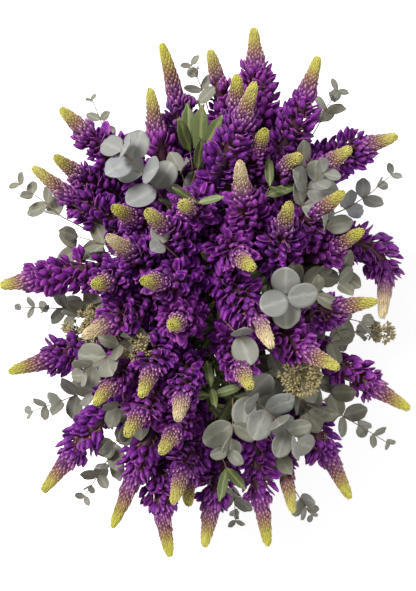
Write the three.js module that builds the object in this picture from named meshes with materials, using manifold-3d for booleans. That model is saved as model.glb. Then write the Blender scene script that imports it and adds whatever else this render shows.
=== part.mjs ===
// A hand-tied bouquet of lupin flower spikes with silver-dollar eucalyptus, bud sprays and green
// leaves, standing unheld on its cut, spirally splayed stem ends. Millimetres, +Z up. The origin is
// the centre of the middle stem's cut end, so Z = 0 is the surface that the bouquet stands on.
import * as THREE from "three";
import { mergeVertices } from "three/addons/utils/BufferGeometryUtils.js";
import Module from "manifold-3d";

const wasm = await Module();
wasm.setup();

// ---------- Driving dimensions ----------
const STEM_RADIUS = 2.75; // a cut lupin or eucalyptus stem in the bundle
const STEM_SIDES = 5; // a pentagon is nearly as wide whichever way it is measured
const STEM_PITCH = 5.7; // between stem centres where they are tied
const TIE_LOW = 165; // the binding's lower edge
const TIE_HIGH = 181; // the binding's upper edge
const PARTING = 190; // where the stems begin to part, and foliage stems to fork
const FOOT_SPREAD = 3.1; // how much wider the bundle is at the cut ends than at the tie
const FOOT_TURN = THREE.MathUtils.degToRad(60); // the spiral's turn from the tie to the cut ends
const RISE_SHARES = [0, 0.26, 0.62, 0.95]; // where a stem bends on its way from the tie to a spike

// The spikes grow out through a dome. These are its lowest height and half sizes.
const DOME = { z: 300, x: 112, y: 165, height: 105 };
const SUNK = 32; // length of each spike's florets inside the dome

// One spike: rings of florets, each as [share of the spike's length, florets in the ring, floret
// radius, gap radius]. Open florets stand out in whorls, and buds close up towards the tip.
const PROFILE = [
  [0.02, 4, 20, 11],
  [0.1, 4, 11, 11],
  [0.17, 4, 24, 12],
  [0.25, 4, 11, 11],
  [0.32, 4, 24.5, 12],
  [0.39, 4, 11, 11],
  [0.46, 4, 22.5, 11.5],
  [0.58, 3, 19, 10],
  [0.69, 3, 14.5, 9],
  [0.82, 3, 10, 7.5],
];
const NESTLE = 0.9; // neighbours' florets reach this near: they sit in each other's gaps
const SPIKE_STEPS = 8; // straight lengths of a spike's own centreline
const BOW = 5; // how far a spike bends to one side, at most

// Each lupin: plan position of its tip, plan position where it leaves the dome, how far that
// stands off it, and the straight length between the two. A last value bends a drooped spike.
const LUPINS = [
  [-58, 316, -36, 170, 0, 165],
  [-72, 256, -52, 138, -38, 150],
  [-180, 229, -95, 157, 0, 150],
  [-190, 173, -110, 120, -38, 150],
  [-217, 159, -101, 72, 5, 165],
  [3, 308, 21, 193, -38, 150],
  [57, 331, 65, 183, 0, 170],
  [136, 294, 91, 166, 0, 165],
  [35, 267, 34, 176, 0, 150],
  [54, 247, 23, 147, 36, 160],
  [68, 196, 56, 135, 0, 150],
  [37, 154, 44, 92, 0, 150],
  [109, 165, 69, 122, 0, 150],
  [172, 178, 104, 140, 0, 150],
  [234, 198, 118, 168, -25, 160],
  [160, 122, 81, 75, 0, 150],
  [95, 107, 81, 64, 0, 150],
  [186, 78, 114, 49, 10, 150],
  [226, -26, 137, 49, -30, 122, 60],
  [51, 32, 40, 75, 0, 150],
  [73, -58, 17, 34, 0, 160],
  [202, -7, 105, -34, 0, 150],
  [151, -84, 67, -41, 0, 150],
  [249, -140, 130, -73, 0, 160],
  [48, -105, 32, -53, 0, 150],
  [-255, 13, -107, 41, 0, 165],
  [-245, -94, -125, -64, 0, 155],
  [-144, -47, -74, -1, 0, 150],
  [-132, 13, -85, 26, 0, 150],
  [-74, 17, -34, 19, 0, 150],
  [-109, 102, -63, 66, 0, 150],
  [-69, 96, -29, 66, 0, 150],
  [-115, 68, -65, 39, 0, 150],
  [-29, 104, -14, 78, 0, 150],
  [-41, -34, -27, -7, 0, 150],
  [-77, -115, -65, -62, 0, 150],
  [-132, -126, -73, -71, 0, 150],
  [-207, -246, -117, -120, 0, 165],
  [-95, -163, -53, -117, 0, 150],
  [-119, -289, -62, -151, 0, 165],
  [-48, -325, -47, -183, 0, 160],
  [-55, -184, -35, -135, 0, 150],
  [-35, -142, -30, -99, 0, 150],
  [-42, -250, -3, -171, 15, 150],
  [-24, -258, -7, -179, -20, 140],
  [-4, -312, 3, -178, 0, 155],
  [75, -312, 54, -165, 0, 165],
  [107, -272, 73, -171, -30, 140],
  [176, -251, 107, -133, 0, 160],
];

// Each foliage stem's branches. A branch is a line of points from inside the head to its tip, the
// leaf length at its first and last pair, the number of pairs, the share of the branch where they
// start, the roll of the first pair about the branch, the angle between leaf and twig, and the
// leaf's shape. Some branches end in buds: how many, and how far they fan out.
const EUCALYPTUS = [
  [
    {
      path: [[-77, 107, 262], [-118, 177, 285], [-136, 219, 300], [-150, 254, 315]],
      leaf: [27, 12], pairs: 3, start: 0.5, roll: 60, lean: 58, shape: "oval",
    },
    {
      path: [[-37, 87, 400], [-56, 119, 430], [-81, 151, 455], [-104, 174, 470]],
      leaf: [42, 38], pairs: 4, start: 0.45, roll: 15, lean: 68, shape: "round",
    },
    {
      path: [[9, 193, 262], [0, 243, 285], [-10, 274, 300], [-22, 299, 310]],
      leaf: [27, 16], pairs: 3, start: 0.6, roll: 20, lean: 58, shape: "oval",
    },
  ],
  [
    {
      path: [[-130, 74, 262], [-178, 94, 285], [-209, 119, 295], [-246, 145, 305]],
      leaf: [34, 18], pairs: 4, start: 0.5, roll: 60, lean: 58, shape: "oval",
    },
    {
      path: [[-130, -6, 262], [-181, -16, 285], [-214, -16, 292], [-245, -15, 298]],
      leaf: [34, 14], pairs: 5, start: 0.2, roll: 80, lean: 58, shape: "oval",
    },
    {
      path: [[-84, -18, 330], [-108, -28, 345], [-122, -33, 350]],
      buds: [14, 22],
    },
  ],
  [
    {
      path: [[-72, -43, 390], [-108, -67, 425], [-137, -81, 442], [-150, -96, 447]],
      leaf: [36, 20], pairs: 3, start: 0.5, roll: 50, lean: 58, shape: "round",
    },
    {
      path: [[-117, -112, 262], [-161, -126, 285], [-195, -139, 295], [-231, -151, 300]],
      leaf: [40, 16], pairs: 5, start: 0.25, roll: 70, lean: 58, shape: "oval",
    },
  ],
  [
    {
      path: [[-90, -178, 262], [-126, -209, 285], [-143, -234, 295], [-161, -262, 300]],
      leaf: [34, 13], pairs: 5, start: 0.3, roll: 10, lean: 58, shape: "oval",
    },
    {
      path: [[23, -191, 262], [29, -229, 285], [34, -260, 295], [36, -294, 300]],
      leaf: [36, 14], pairs: 4, start: 0.55, roll: 75, lean: 58, shape: "oval",
    },
  ],
  [
    {
      path: [[89, -205, 262], [108, -245, 280], [124, -271, 292], [135, -286, 298]],
      leaf: [32, 11], pairs: 3, start: 0.6, roll: 40, lean: 58, shape: "oval",
    },
    {
      path: [[40, -111, 400], [57, -127, 430], [81, -148, 445], [108, -178, 455]],
      leaf: [39, 32], pairs: 6, start: 0.2, roll: 10, lean: 66, shape: "round",
    },
    {
      path: [[30, -123, 400], [30, -158, 425], [24, -190, 435]],
      leaf: [38, 24], pairs: 3, start: 0.5, roll: 15, lean: 60, shape: "round",
    },
  ],
  [
    {
      path: [[76, 16, 400], [87, 6, 440], [95, -4, 470]],
      leaf: [40, 35], pairs: 2, start: 0.8, roll: 60, lean: 84, shape: "round",
    },
    {
      path: [[96, -80, 380], [108, -92, 410], [112, -97, 425]],
      buds: [22, 30],
    },
  ],
  [
    {
      path: [[122, -112, 262], [166, -150, 285], [201, -172, 292], [234, -192, 298]],
      leaf: [36, 15], pairs: 5, start: 0.25, roll: 70, lean: 58, shape: "oval",
    },
    {
      path: [[122, -32, 262], [179, -45, 285], [205, -48, 292], [234, -47, 298]],
      leaf: [34, 13], pairs: 4, start: 0.25, roll: 25, lean: 58, shape: "oval",
      buds: [7, 14],
    },
  ],
  [
    {
      path: [[122, 87, 262], [173, 109, 285], [209, 131, 295], [239, 158, 305]],
      leaf: [36, 16], pairs: 4, start: 0.4, roll: 65, lean: 58, shape: "oval",
    },
    {
      path: [[109, 166, 262], [138, 210, 290], [152, 241, 300], [168, 266, 310]],
      leaf: [34, 17], pairs: 4, start: 0.5, roll: 75, lean: 58, shape: "oval",
    },
    {
      path: [[98, 111, 378], [120, 129, 410], [142, 150, 430]],
      leaf: [38, 22], pairs: 3, start: 0.5, roll: 30, lean: 58, shape: "round",
    },
  ],
];
const GREENS = [
  [
    {
      path: [[-22, 132, 370], [-14, 152, 385], [-10, 172, 395]],
      leaf: [46, 64], pairs: 2, start: 0.6, roll: 68, lean: 16, shape: "slim",
    },
    {
      path: [[62, 108, 385], [70, 122, 405], [76, 134, 415]],
      leaf: [44, 40], pairs: 2, start: 0.5, roll: 30, lean: 60, shape: "slim",
    },
  ],
  [
    {
      path: [[5, -141, 380], [4, -125, 400], [4, -112, 420]],
      leaf: [46, 38], pairs: 2, start: 0.6, roll: 10, lean: 70, shape: "slim",
    },
    {
      path: [[12, -185, 340], [22, -212, 365], [27, -228, 375]],
      leaf: [46, 40], pairs: 1, start: 0.6, roll: 20, lean: 24, shape: "slim",
    },
  ],
];

const TWIG_RADIUS = 2; // where it leaves its stem
const TWIG_TIP_RADIUS = 1;
const TWIG_SIDES = 3;
const FORK_SUNK = 2; // how deep a twig starts in its stem
const BEND_OUT = 0.26; // a twig's first bend, as shares of the way out and up to its branch
const BEND_UP = 0.45;
const TWIG_STEPS = 6;
const LEAF_THICK = 1.2; // at the middle of a leaf, which thins to its edge
const LIGHTWARD = 0.65; // how far leaves turn their faces up, from 0 to 1
const LEAF_SHAPES = {
  // width as a share of length, and the outline's points as shares of length and width
  round: { width: 0.86, outline: [[0.3, 0.4], [0.72, 0.47]] },
  oval: { width: 0.64, outline: [[0.22, 0.38], [0.62, 0.48]] },
  slim: { width: 0.3, outline: [[0.25, 0.4], [0.6, 0.45]] },
};

const CLEARANCE = 1; // kept between neighbouring stems and spikes
const SETTLE_ROUNDS = 600;
const LEAF_ROOM = 2.5; // kept round a leaf's midrib and its widest line

const UP = new THREE.Vector3(0, 0, 1);
const vec = (x, y, z) => new THREE.Vector3(x, y, z);

// The same seeded draws, between 0 and 1, in every run.
function seededDraws(seed) {
  let state = seed;
  return () => {
    state = (state * 16807) % 2147483647;
    return state / 2147483647;
  };
}

// ---------- Where each stem passes through the tie ----------
// Rings of 1, 6, 12, 18 and 24 places. Plants whose heads are central take the inner ones, and in
// each ring the places go round in the order of the heads, turned to suit them best.
function tiePlaces(heads) {
  const order = heads.map((head, index) => ({ index, ...head })).sort((a, b) => a.outward - b.outward);
  const places = [];
  for (let ring = 0, taken = 0; taken < order.length; ring++) {
    const slots = ring ? 6 * ring : 1;
    const group = order.slice(taken, taken + slots).sort((a, b) => a.azimuth - b.azimuth);
    taken += group.length;
    const slotAngle = (i, shift) => (2 * Math.PI * (Math.round((i * slots) / group.length) + shift)) / slots;
    const misfit = (shift) =>
      group.reduce((sum, head, i) => sum + 1 - Math.cos(head.azimuth - slotAngle(i, shift)), 0);
    let best = 0;
    for (let shift = 1; shift < slots; shift++) if (misfit(shift) < misfit(best)) best = shift;
    group.forEach((head, i) => {
      const angle = slotAngle(i, best);
      const reach = ring * STEM_PITCH;
      places[head.index] = vec(reach * Math.cos(angle), reach * Math.sin(angle), PARTING);
    });
  }
  return places;
}

// ---------- Centrelines ----------
function bezier(a, b, c, d, t) {
  const s = 1 - t;
  return vec(0, 0, 0)
    .addScaledVector(a, s * s * s)
    .addScaledVector(b, 3 * s * s * t)
    .addScaledVector(c, 3 * s * t * t)
    .addScaledVector(d, t * t * t);
}

// A lupin's centreline above the tie: the rising stem, then the spike, with each point's room.
function lupinLine(place, [tipX, tipY, rootX, rootY, lift, length, droop], draw) {
  const onDome = Math.max(0, 1 - (rootX / DOME.x) ** 2 - (rootY / DOME.y) ** 2);
  const root = vec(rootX, rootY, DOME.z + DOME.height * Math.sqrt(onDome) + lift);
  const across = Math.hypot(tipX - rootX, tipY - rootY);
  const tip = vec(tipX, tipY, root.z + Math.sqrt(Math.max(length * length - across * across, 0)));
  const along = tip.clone().sub(root).normalize();
  root.addScaledVector(along, -SUNK);
  const sideways = vec(-along.y, along.x, 0).normalize();
  const bow = droop ?? BOW * (2 * draw() - 1);
  const spike = (t) =>
    root.clone().lerp(tip, t).addScaledVector(sideways, bow * Math.sin(Math.PI * Math.min(1, t * 0.8 + 0.2 * t * t)));
  const setOff = spike(0.05).sub(root).normalize();
  const pull = 0.45 * root.distanceTo(place);
  const lift1 = place.clone().addScaledVector(UP, pull);
  const lift2 = root.clone().addScaledVector(setOff, -pull);
  const points = [];
  const room = [];
  for (const share of RISE_SHARES) {
    points.push(bezier(place, lift1, lift2, root, share));
    room.push(STEM_RADIUS);
  }
  for (let i = 0; i <= SPIKE_STEPS; i++) {
    const t = i / SPIKE_STEPS;
    points.push(spike(t));
    room.push(roomAt(t));
  }
  return { points, room, start: points.map((p) => p.clone()) };
}

// A spike's floret radius at a share of its length.
function roomAt(t) {
  const rings = PROFILE.filter(([, , floret, gap]) => floret > gap);
  const peaks = rings.map(([share, , floret]) => [share, NESTLE * floret]);
  peaks.unshift([0, 15]);
  peaks.push([1, 2]);
  const next = Math.max(1, peaks.findIndex(([share]) => share >= t));
  const [[fromShare, from], [toShare, to]] = [peaks[next - 1], peaks[next]];
  return THREE.MathUtils.mapLinear(t, fromShare, toShare, from, to);
}

// A point at a share of a smooth line through its points.
function smoothPoint(points, share) {
  const at = Math.min(share * (points.length - 1), points.length - 1 - 1e-9);
  const i = Math.floor(at);
  const t = at - i;
  const p1 = points[i];
  const p2 = points[i + 1];
  const p0 = points[i - 1] ?? p1.clone().multiplyScalar(2).sub(p2);
  const p3 = points[i + 2] ?? p2.clone().multiplyScalar(2).sub(p1);
  return vec(0, 0, 0)
    .addScaledVector(p0, 0.5 * (-t + 2 * t * t - t * t * t))
    .addScaledVector(p1, 0.5 * (2 - 5 * t * t + 3 * t * t * t))
    .addScaledVector(p2, 0.5 * (t + 4 * t * t - 3 * t * t * t))
    .addScaledVector(p3, 0.5 * (-t * t + t * t * t));
}

function smoothTangent(points, share) {
  const step = 0.01;
  return smoothPoint(points, Math.min(1, share + step))
    .sub(smoothPoint(points, Math.max(0, share - step)))
    .normalize();
}

// A foliage branch: its twig from the fork outwards, and where each leaf sits.
function branchLine(place, branch, draw) {
  const own = branch.path.map((p) => vec(...p));
  const fork = place.clone().addScaledVector(UP, -FORK_SUNK);
  const bend = fork.clone().lerp(own[0], BEND_OUT).setZ(THREE.MathUtils.lerp(fork.z, own[0].z, BEND_UP));
  const points = [fork, bend, ...own];
  const twig = Array.from({ length: TWIG_STEPS + 1 }, (_, i) => smoothPoint(points, i / TWIG_STEPS));
  const ownFrom = 2 / (points.length - 1);
  const leaves = [];
  const shape = LEAF_SHAPES[branch.shape];
  const pairs = branch.pairs ?? 0;
  for (let pair = 0; pair < pairs; pair++) {
    const within = branch.start + ((1 - branch.start) * pair) / Math.max(1, pairs - 1);
    const share = ownFrom + (1 - ownFrom) * Math.min(within, 0.985);
    const base = pointOn(twig, share);
    const tangent = smoothTangent(points, share);
    const level = vec(-tangent.y, tangent.x, 0).normalize();
    const roll = THREE.MathUtils.degToRad(branch.roll + 90 * pair + 24 * (draw() - 0.5));
    const size = THREE.MathUtils.lerp(branch.leaf[0], branch.leaf[1], pair / Math.max(1, pairs - 1));
    for (const turn of [0, Math.PI]) {
      const side = level.clone().applyAxisAngle(tangent, roll + turn);
      const lean = THREE.MathUtils.degToRad(branch.lean) + 0.3 * (draw() - 0.5);
      const along = tangent.clone().multiplyScalar(Math.cos(lean)).addScaledVector(side, Math.sin(lean));
      const light = tangent.clone().multiplyScalar(1 - LIGHTWARD).addScaledVector(UP, LIGHTWARD);
      const facing = light.addScaledVector(along, -light.dot(along)).normalize();
      facing.applyAxisAngle(along, 0.8 * (draw() - 0.5));
      leaves.push({ base, along, facing, length: size * (0.9 + 0.2 * draw()), shape });
    }
  }
  return { points, twig, leaves, buds: branch.buds };
}

// A leaf's midrib and its widest line.
function leafCross({ base, along, facing, length, shape }) {
  const across = facing.clone().cross(along).multiplyScalar(0.45 * length * shape.width);
  const middle = base.clone().addScaledVector(along, 0.55 * length);
  const tip = base.clone().addScaledVector(along, length);
  return [
    [base, tip],
    [middle.clone().sub(across), middle.clone().add(across)],
  ];
}

// A point at a share of a line of straight lengths.
function pointOn(line, share) {
  const at = share * (line.length - 1);
  const i = Math.min(Math.floor(at), line.length - 2);
  return line[i].clone().lerp(line[i + 1], at - i);
}

// ---------- Settling: lupins ease apart until none touches ----------
// The closest points of two straight lengths, as shares of each.
function closestShares(p1, q1, p2, q2) {
  const d1 = q1.clone().sub(p1);
  const d2 = q2.clone().sub(p2);
  const r = p1.clone().sub(p2);
  const a = d1.dot(d1);
  const e = d2.dot(d2);
  const f = d2.dot(r);
  const c = d1.dot(r);
  const b = d1.dot(d2);
  const clamp = THREE.MathUtils.clamp;
  const denominator = a * e - b * b;
  let s = denominator > 1e-9 ? clamp((b * f - c * e) / denominator, 0, 1) : 0.5;
  let t = (b * s + f) / e;
  if (t < 0 || t > 1) {
    t = clamp(t, 0, 1);
    s = clamp((b * t - c) / a, 0, 1);
  }
  return [s, t];
}

function reachOf(line) {
  const box = new THREE.Box3().setFromPoints(line.points);
  return box.expandByScalar(Math.max(...line.room));
}

// Moves a and b apart where they are too close. A fixed line doesn't move.
function easeApart(a, b) {
  for (let i = 0; i + 1 < a.points.length; i++) {
    for (let j = 0; j + 1 < b.points.length; j++) {
      const [p1, q1, p2, q2] = [a.points[i], a.points[i + 1], b.points[j], b.points[j + 1]];
      const widest = Math.max(a.room[i], a.room[i + 1]) + Math.max(b.room[j], b.room[j + 1]) + CLEARANCE;
      if (p1.distanceTo(p2) > widest + p1.distanceTo(q1) + p2.distanceTo(q2)) continue;
      const [s, t] = closestShares(p1, q1, p2, q2);
      const apart = p1.clone().lerp(q1, s).sub(p2.clone().lerp(q2, t));
      const wanted =
        THREE.MathUtils.lerp(a.room[i], a.room[i + 1], s) +
        THREE.MathUtils.lerp(b.room[j], b.room[j + 1], t) +
        CLEARANCE;
      const distance = apart.length();
      if (distance >= wanted || distance < 1e-6) continue;
      const push = apart.multiplyScalar((0.5 * (wanted - distance)) / distance);
      push.x *= 0.7;
      push.y *= 0.7;
      if (!a.fixed) {
        if (i > 0) p1.addScaledVector(push, 1 - s);
        q1.addScaledVector(push, s);
      }
      if (!b.fixed) {
        if (j > 0) p2.addScaledVector(push, t - 1);
        q2.addScaledVector(push, -t);
      }
    }
  }
}

// Spreads a line's shift along it, so that it stays smooth.
function smoothShift(line) {
  const shift = line.points.map((p, i) => p.clone().sub(line.start[i]));
  const last = shift.length - 1;
  for (let i = 1; i <= last; i++) {
    const beyond = i < last ? shift[i + 1] : shift[i].clone().multiplyScalar(2).sub(shift[i - 1]);
    const even = shift[i - 1].clone().add(beyond).multiplyScalar(0.5);
    line.points[i].addScaledVector(even.sub(shift[i]), 0.35);
  }
}

function settle(lines) {
  for (let round = 0; round < SETTLE_ROUNDS; round++) {
    const boxes = lines.map(reachOf);
    for (let i = 0; i < lines.length; i++) {
      for (let j = i + 1; j < lines.length; j++) {
        if (lines[i].fixed && lines[j].fixed) continue;
        if (boxes[i].intersectsBox(boxes[j])) easeApart(lines[i], lines[j]);
      }
    }
    if (round < SETTLE_ROUNDS - 12) lines.filter((line) => !line.fixed).forEach(smoothShift);
  }
}

// ---------- Solids ----------
// A ring of points about a centre, square to a direction, with one radius for each point.
function ringAbout(centre, direction, radii, turn = 0) {
  const tilt = new THREE.Quaternion().setFromUnitVectors(UP, direction);
  return radii.map((radius, i) => {
    const angle = turn + (2 * Math.PI * i) / radii.length;
    return vec(radius * Math.cos(angle), radius * Math.sin(angle), 0).applyQuaternion(tilt).add(centre);
  });
}

const evenRing = (sides, radius) => Array(sides).fill(radius);

// A closed skin over rings of points, from a flat first ring to a pointed or flat end.
function skinOver(rings, apex) {
  const points = [];
  const faces = [];
  const starts = rings.map((ring) => points.push(...ring) - ring.length);
  for (let i = 0; i + 1 < rings.length; i++) {
    const [low, high] = [rings[i].length, rings[i + 1].length];
    for (let a = 0, b = 0; a < low || b < high; ) {
      const la = starts[i] + (a % low);
      const hb = starts[i + 1] + (b % high);
      if (b >= high || (a < low && (a + 1) / low <= (b + 1) / high)) {
        faces.push(la, starts[i] + ((a + 1) % low), hb);
        a++;
      } else {
        faces.push(la, starts[i + 1] + ((b + 1) % high), hb);
        b++;
      }
    }
  }
  const firstRing = rings[0].length;
  for (let i = 1; i + 1 < firstRing; i++) faces.push(0, i + 1, i);
  const top = starts[starts.length - 1];
  const lastRing = rings[rings.length - 1].length;
  if (apex) {
    points.push(apex);
    for (let i = 0; i < lastRing; i++) faces.push(top + i, top + ((i + 1) % lastRing), points.length - 1);
  } else {
    for (let i = 1; i + 1 < lastRing; i++) faces.push(top, top + i, top + i + 1);
  }
  return geometryOf(points, faces);
}

function geometryOf(points, faces) {
  const geometry = new THREE.BufferGeometry().setFromPoints(points);
  geometry.setIndex(faces);
  return geometry;
}

// The rings of a stem from its cut end to where the stems part, level so that neighbours never touch.
function footRings(place) {
  const foot = place.clone().multiplyScalar(FOOT_SPREAD).applyAxisAngle(UP, FOOT_TURN);
  const levels = [foot.setZ(0), place.clone().setZ(TIE_LOW), place.clone()];
  return levels.map((centre) => ringAbout(centre, UP, evenRing(STEM_SIDES, STEM_RADIUS)));
}

function tangentAt(points, i) {
  const before = points[Math.max(0, i - 1)];
  const after = points[Math.min(points.length - 1, i + 1)];
  return after.clone().sub(before).normalize();
}

// Each ring of florets stands over the gaps of the one below it.
const turnOf = (level) => PROFILE.slice(0, level).filter(([, , floret, gap]) => floret > gap).length;

function lupinGeometry(place, line) {
  const rings = footRings(place);
  for (let i = 1; i < RISE_SHARES.length; i++) {
    rings.push(ringAbout(line.points[i], tangentAt(line.points, i), evenRing(STEM_SIDES, STEM_RADIUS)));
  }
  const spike = line.points.slice(RISE_SHARES.length);
  PROFILE.forEach(([share, florets, floret, gap], level) => {
    const radii = Array.from({ length: 2 * florets }, (_, i) => ((i + turnOf(level)) % 2 ? gap : floret));
    rings.push(ringAbout(smoothPoint(spike, share), smoothTangent(spike, share), radii));
  });
  return skinOver(rings, spike[spike.length - 1]);
}

// A leaf is a thin lens: two low peaks over its outline, thickest where it meets the twig.
function leafGeometry({ base, along, facing, length, shape }) {
  const across = facing.clone().cross(along);
  const at = (x, y, z) =>
    base
      .clone()
      .addScaledVector(along, x * length)
      .addScaledVector(across, y * length * shape.width)
      .addScaledVector(facing, z);
  const half = LEAF_THICK / 2;
  const cup = 0.06 * length;
  const edge = shape.outline;
  const outline = [...edge, [1, 0], ...edge.slice().reverse().map(([x, y]) => [x, -y])];
  const rim = outline.map(([x, y]) => at(x, y, 0));
  const points = [at(0, 0, half), at(0, 0, -half), at(0.55, 0, half - cup), at(0.55, 0, -half - cup), ...rim];
  const last = points.length - 1;
  const faces = [0, 4, 1, 1, last, 0, 2, 4, 0, 2, 0, last, 3, 1, 4, 3, last, 1];
  for (let i = 4; i < last; i++) faces.push(2, i + 1, i, 3, i, i + 1);
  return geometryOf(points, faces);
}

// A little club of a bud on its own stalk.
function budGeometry(from, to) {
  const direction = to.clone().sub(from).normalize();
  const [neck, waist] = [from.clone().lerp(to, 0.6), from.clone().lerp(to, 0.85)];
  const rings = [[from, 0.7], [neck, 0.7], [waist, 1.9]].map(([centre, radius]) =>
    ringAbout(centre, direction, evenRing(3, radius)),
  );
  return skinOver(rings, to);
}

function twigGeometry(twig) {
  const rings = twig.map((centre, i) => {
    const radius = THREE.MathUtils.lerp(TWIG_RADIUS, TWIG_TIP_RADIUS, i / TWIG_STEPS);
    return ringAbout(centre, tangentAt(twig, i), evenRing(TWIG_SIDES, radius));
  });
  return skinOver(rings);
}

function solidOf(geometry) {
  const bare = new THREE.BufferGeometry().setAttribute("position", geometry.getAttribute("position"));
  if (geometry.index) bare.setIndex(geometry.index);
  const merged = mergeVertices(bare, 1e-4);
  return new wasm.Manifold(
    new wasm.Mesh({
      numProp: 3,
      vertProperties: new Float32Array(merged.attributes.position.array),
      triVerts: new Uint32Array(merged.index.array),
    }),
  );
}

function joined(geometries) {
  const whole = geometries.map(solidOf).reduce((sum, solid) => sum.add(solid));
  const { vertProperties, triVerts } = whole.getMesh();
  const geometry = new THREE.BufferGeometry();
  geometry.setAttribute("position", new THREE.BufferAttribute(new Float32Array(vertProperties), 3));
  geometry.setIndex(new THREE.BufferAttribute(new Uint32Array(triVerts), 1));
  return geometry;
}

function foliageGeometry(place, branches, draw) {
  const pieces = [skinOver(footRings(place))];
  for (const { twig, leaves, buds } of branches) {
    pieces.push(twigGeometry(twig));
    pieces.push(...leaves.map(leafGeometry));
    if (buds) pieces.push(...budSpray(twig, buds, draw));
  }
  return joined(pieces);
}

// Buds that fan out round the last part of a twig: how many, and how long their stalks are.
function budSpray(twig, [count, reach], draw) {
  const buds = [];
  for (let i = 0; i < count; i++) {
    const share = 0.8 + (0.19 * i) / count;
    const from = pointOn(twig, share);
    const tangent = tangentAt(twig, TWIG_STEPS);
    const side = vec(-tangent.y, tangent.x, 0).normalize().applyAxisAngle(tangent, i * 2.4);
    const to = from
      .clone()
      .addScaledVector(tangent, reach * (0.5 + 0.3 * draw()))
      .addScaledVector(side, reach * (0.9 - 0.35 * (i / count)));
    buds.push(budGeometry(from, to));
  }
  return buds;
}

// Twine wound three times round the bundle, drawn up tight, as one ring.
function tieGeometry() {
  const turns = 3;
  const segments = 20;
  const inner = (4 * STEM_PITCH + STEM_RADIUS + 0.35) / Math.cos(Math.PI / segments);
  const wall = 1.2;
  const bulge = 1.6;
  const height = TIE_HIGH - TIE_LOW - 2;
  const low = TIE_LOW + 1;
  const profile = [new THREE.Vector2(inner, low), new THREE.Vector2(inner + wall, low)];
  for (let i = 0; i < turns; i++) {
    profile.push(new THREE.Vector2(inner + wall + bulge, low + (height * (i + 0.5)) / turns));
    profile.push(new THREE.Vector2(inner + wall, low + (height * (i + 1)) / turns));
  }
  profile.push(new THREE.Vector2(inner, low + height), profile[0].clone());
  const geometry = new THREE.LatheGeometry(profile, segments);
  geometry.rotateX(Math.PI / 2);
  return geometry;
}

// ---------- The bouquet ----------
const COLOURS = {
  lupin: new THREE.MeshStandardMaterial({ color: 0x4a1f86, roughness: 0.7, metalness: 0 }),
  eucalyptus: new THREE.MeshStandardMaterial({ color: 0x9aa79a, roughness: 0.75, metalness: 0 }),
  greens: new THREE.MeshStandardMaterial({ color: 0x5d7a3a, roughness: 0.6, metalness: 0 }),
  tie: new THREE.MeshStandardMaterial({ color: 0xb79a6a, roughness: 0.95, metalness: 0 }),
};

const draw = seededDraws(4711);
const foliage = [...EUCALYPTUS, ...GREENS];
const headOf = (x, y) => ({ outward: Math.hypot(x / DOME.x, y / DOME.y), azimuth: Math.atan2(y, x) });
const foliageHead = (branches) => {
  const starts = branches.map(({ path: [[x, y]] }) => [x, y]);
  const middle = [0, 1].map((axis) => starts.reduce((sum, start) => sum + start[axis], 0));
  const outward = Math.max(...starts.map((start) => headOf(...start).outward));
  return { ...headOf(...middle), outward };
};
const places = tiePlaces([
  ...LUPINS.map(([, , rootX, rootY]) => headOf(rootX, rootY)),
  ...foliage.map(foliageHead),
]);
const lupinLines = LUPINS.map((row, i) => lupinLine(places[i], row, draw));
const foliageBranches = foliage.map((branches, i) =>
  branches.map((branch) => branchLine(places[LUPINS.length + i], branch, draw)),
);

const obstacles = foliageBranches.flat().flatMap(({ twig, leaves, buds }) => {
  const lines = leaves.flatMap(leafCross);
  const foot = twig[0].clone().setZ(TIE_HIGH);
  const spray = buds ? [[twig[TWIG_STEPS - 1], twig[TWIG_STEPS]]] : [];
  return [
    { points: [foot, ...twig], room: evenRing(twig.length + 1, STEM_RADIUS), fixed: true },
    ...lines.map((line) => ({ points: line, room: [LEAF_ROOM, LEAF_ROOM], fixed: true })),
    ...spray.map((line) => ({ points: line, room: [12, 14], fixed: true })),
  ];
});
settle([...lupinLines, ...obstacles]);

const bouquet = new THREE.Group();
function addPiece(name, geometry, material) {
  const mesh = new THREE.Mesh(geometry, material);
  mesh.name = name;
  bouquet.add(mesh);
}
const numbered = (name, i) => `${name}_${String(i + 1).padStart(2, "0")}`;

lupinLines.forEach((line, i) => addPiece(numbered("lupin", i), lupinGeometry(places[i], line), COLOURS.lupin));
foliageBranches.forEach((branches, i) => {
  const isEucalyptus = i < EUCALYPTUS.length;
  const name = isEucalyptus ? numbered("eucalyptus", i) : numbered("green_leaves", i - EUCALYPTUS.length);
  const material = isEucalyptus ? COLOURS.eucalyptus : COLOURS.greens;
  addPiece(name, foliageGeometry(places[LUPINS.length + i], branches, draw), material);
});
addPiece("twine_tie", tieGeometry(), COLOURS.tie);

export default bouquet;
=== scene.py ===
# %% [markdown]
# A hand-tied bouquet of lupins, silver-dollar eucalyptus and green leaves.
# It stands on its cut stems and is looked at from straight above. The imported model gives every stem
# and spike its place. This lesson gives them their petals, buds, leaves and bark: each kind of floret
# or leaf is modelled once, and its copies are then planted along the stems.

import math

import bmesh
import bpy
import numpy as np
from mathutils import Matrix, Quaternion, Vector


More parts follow.
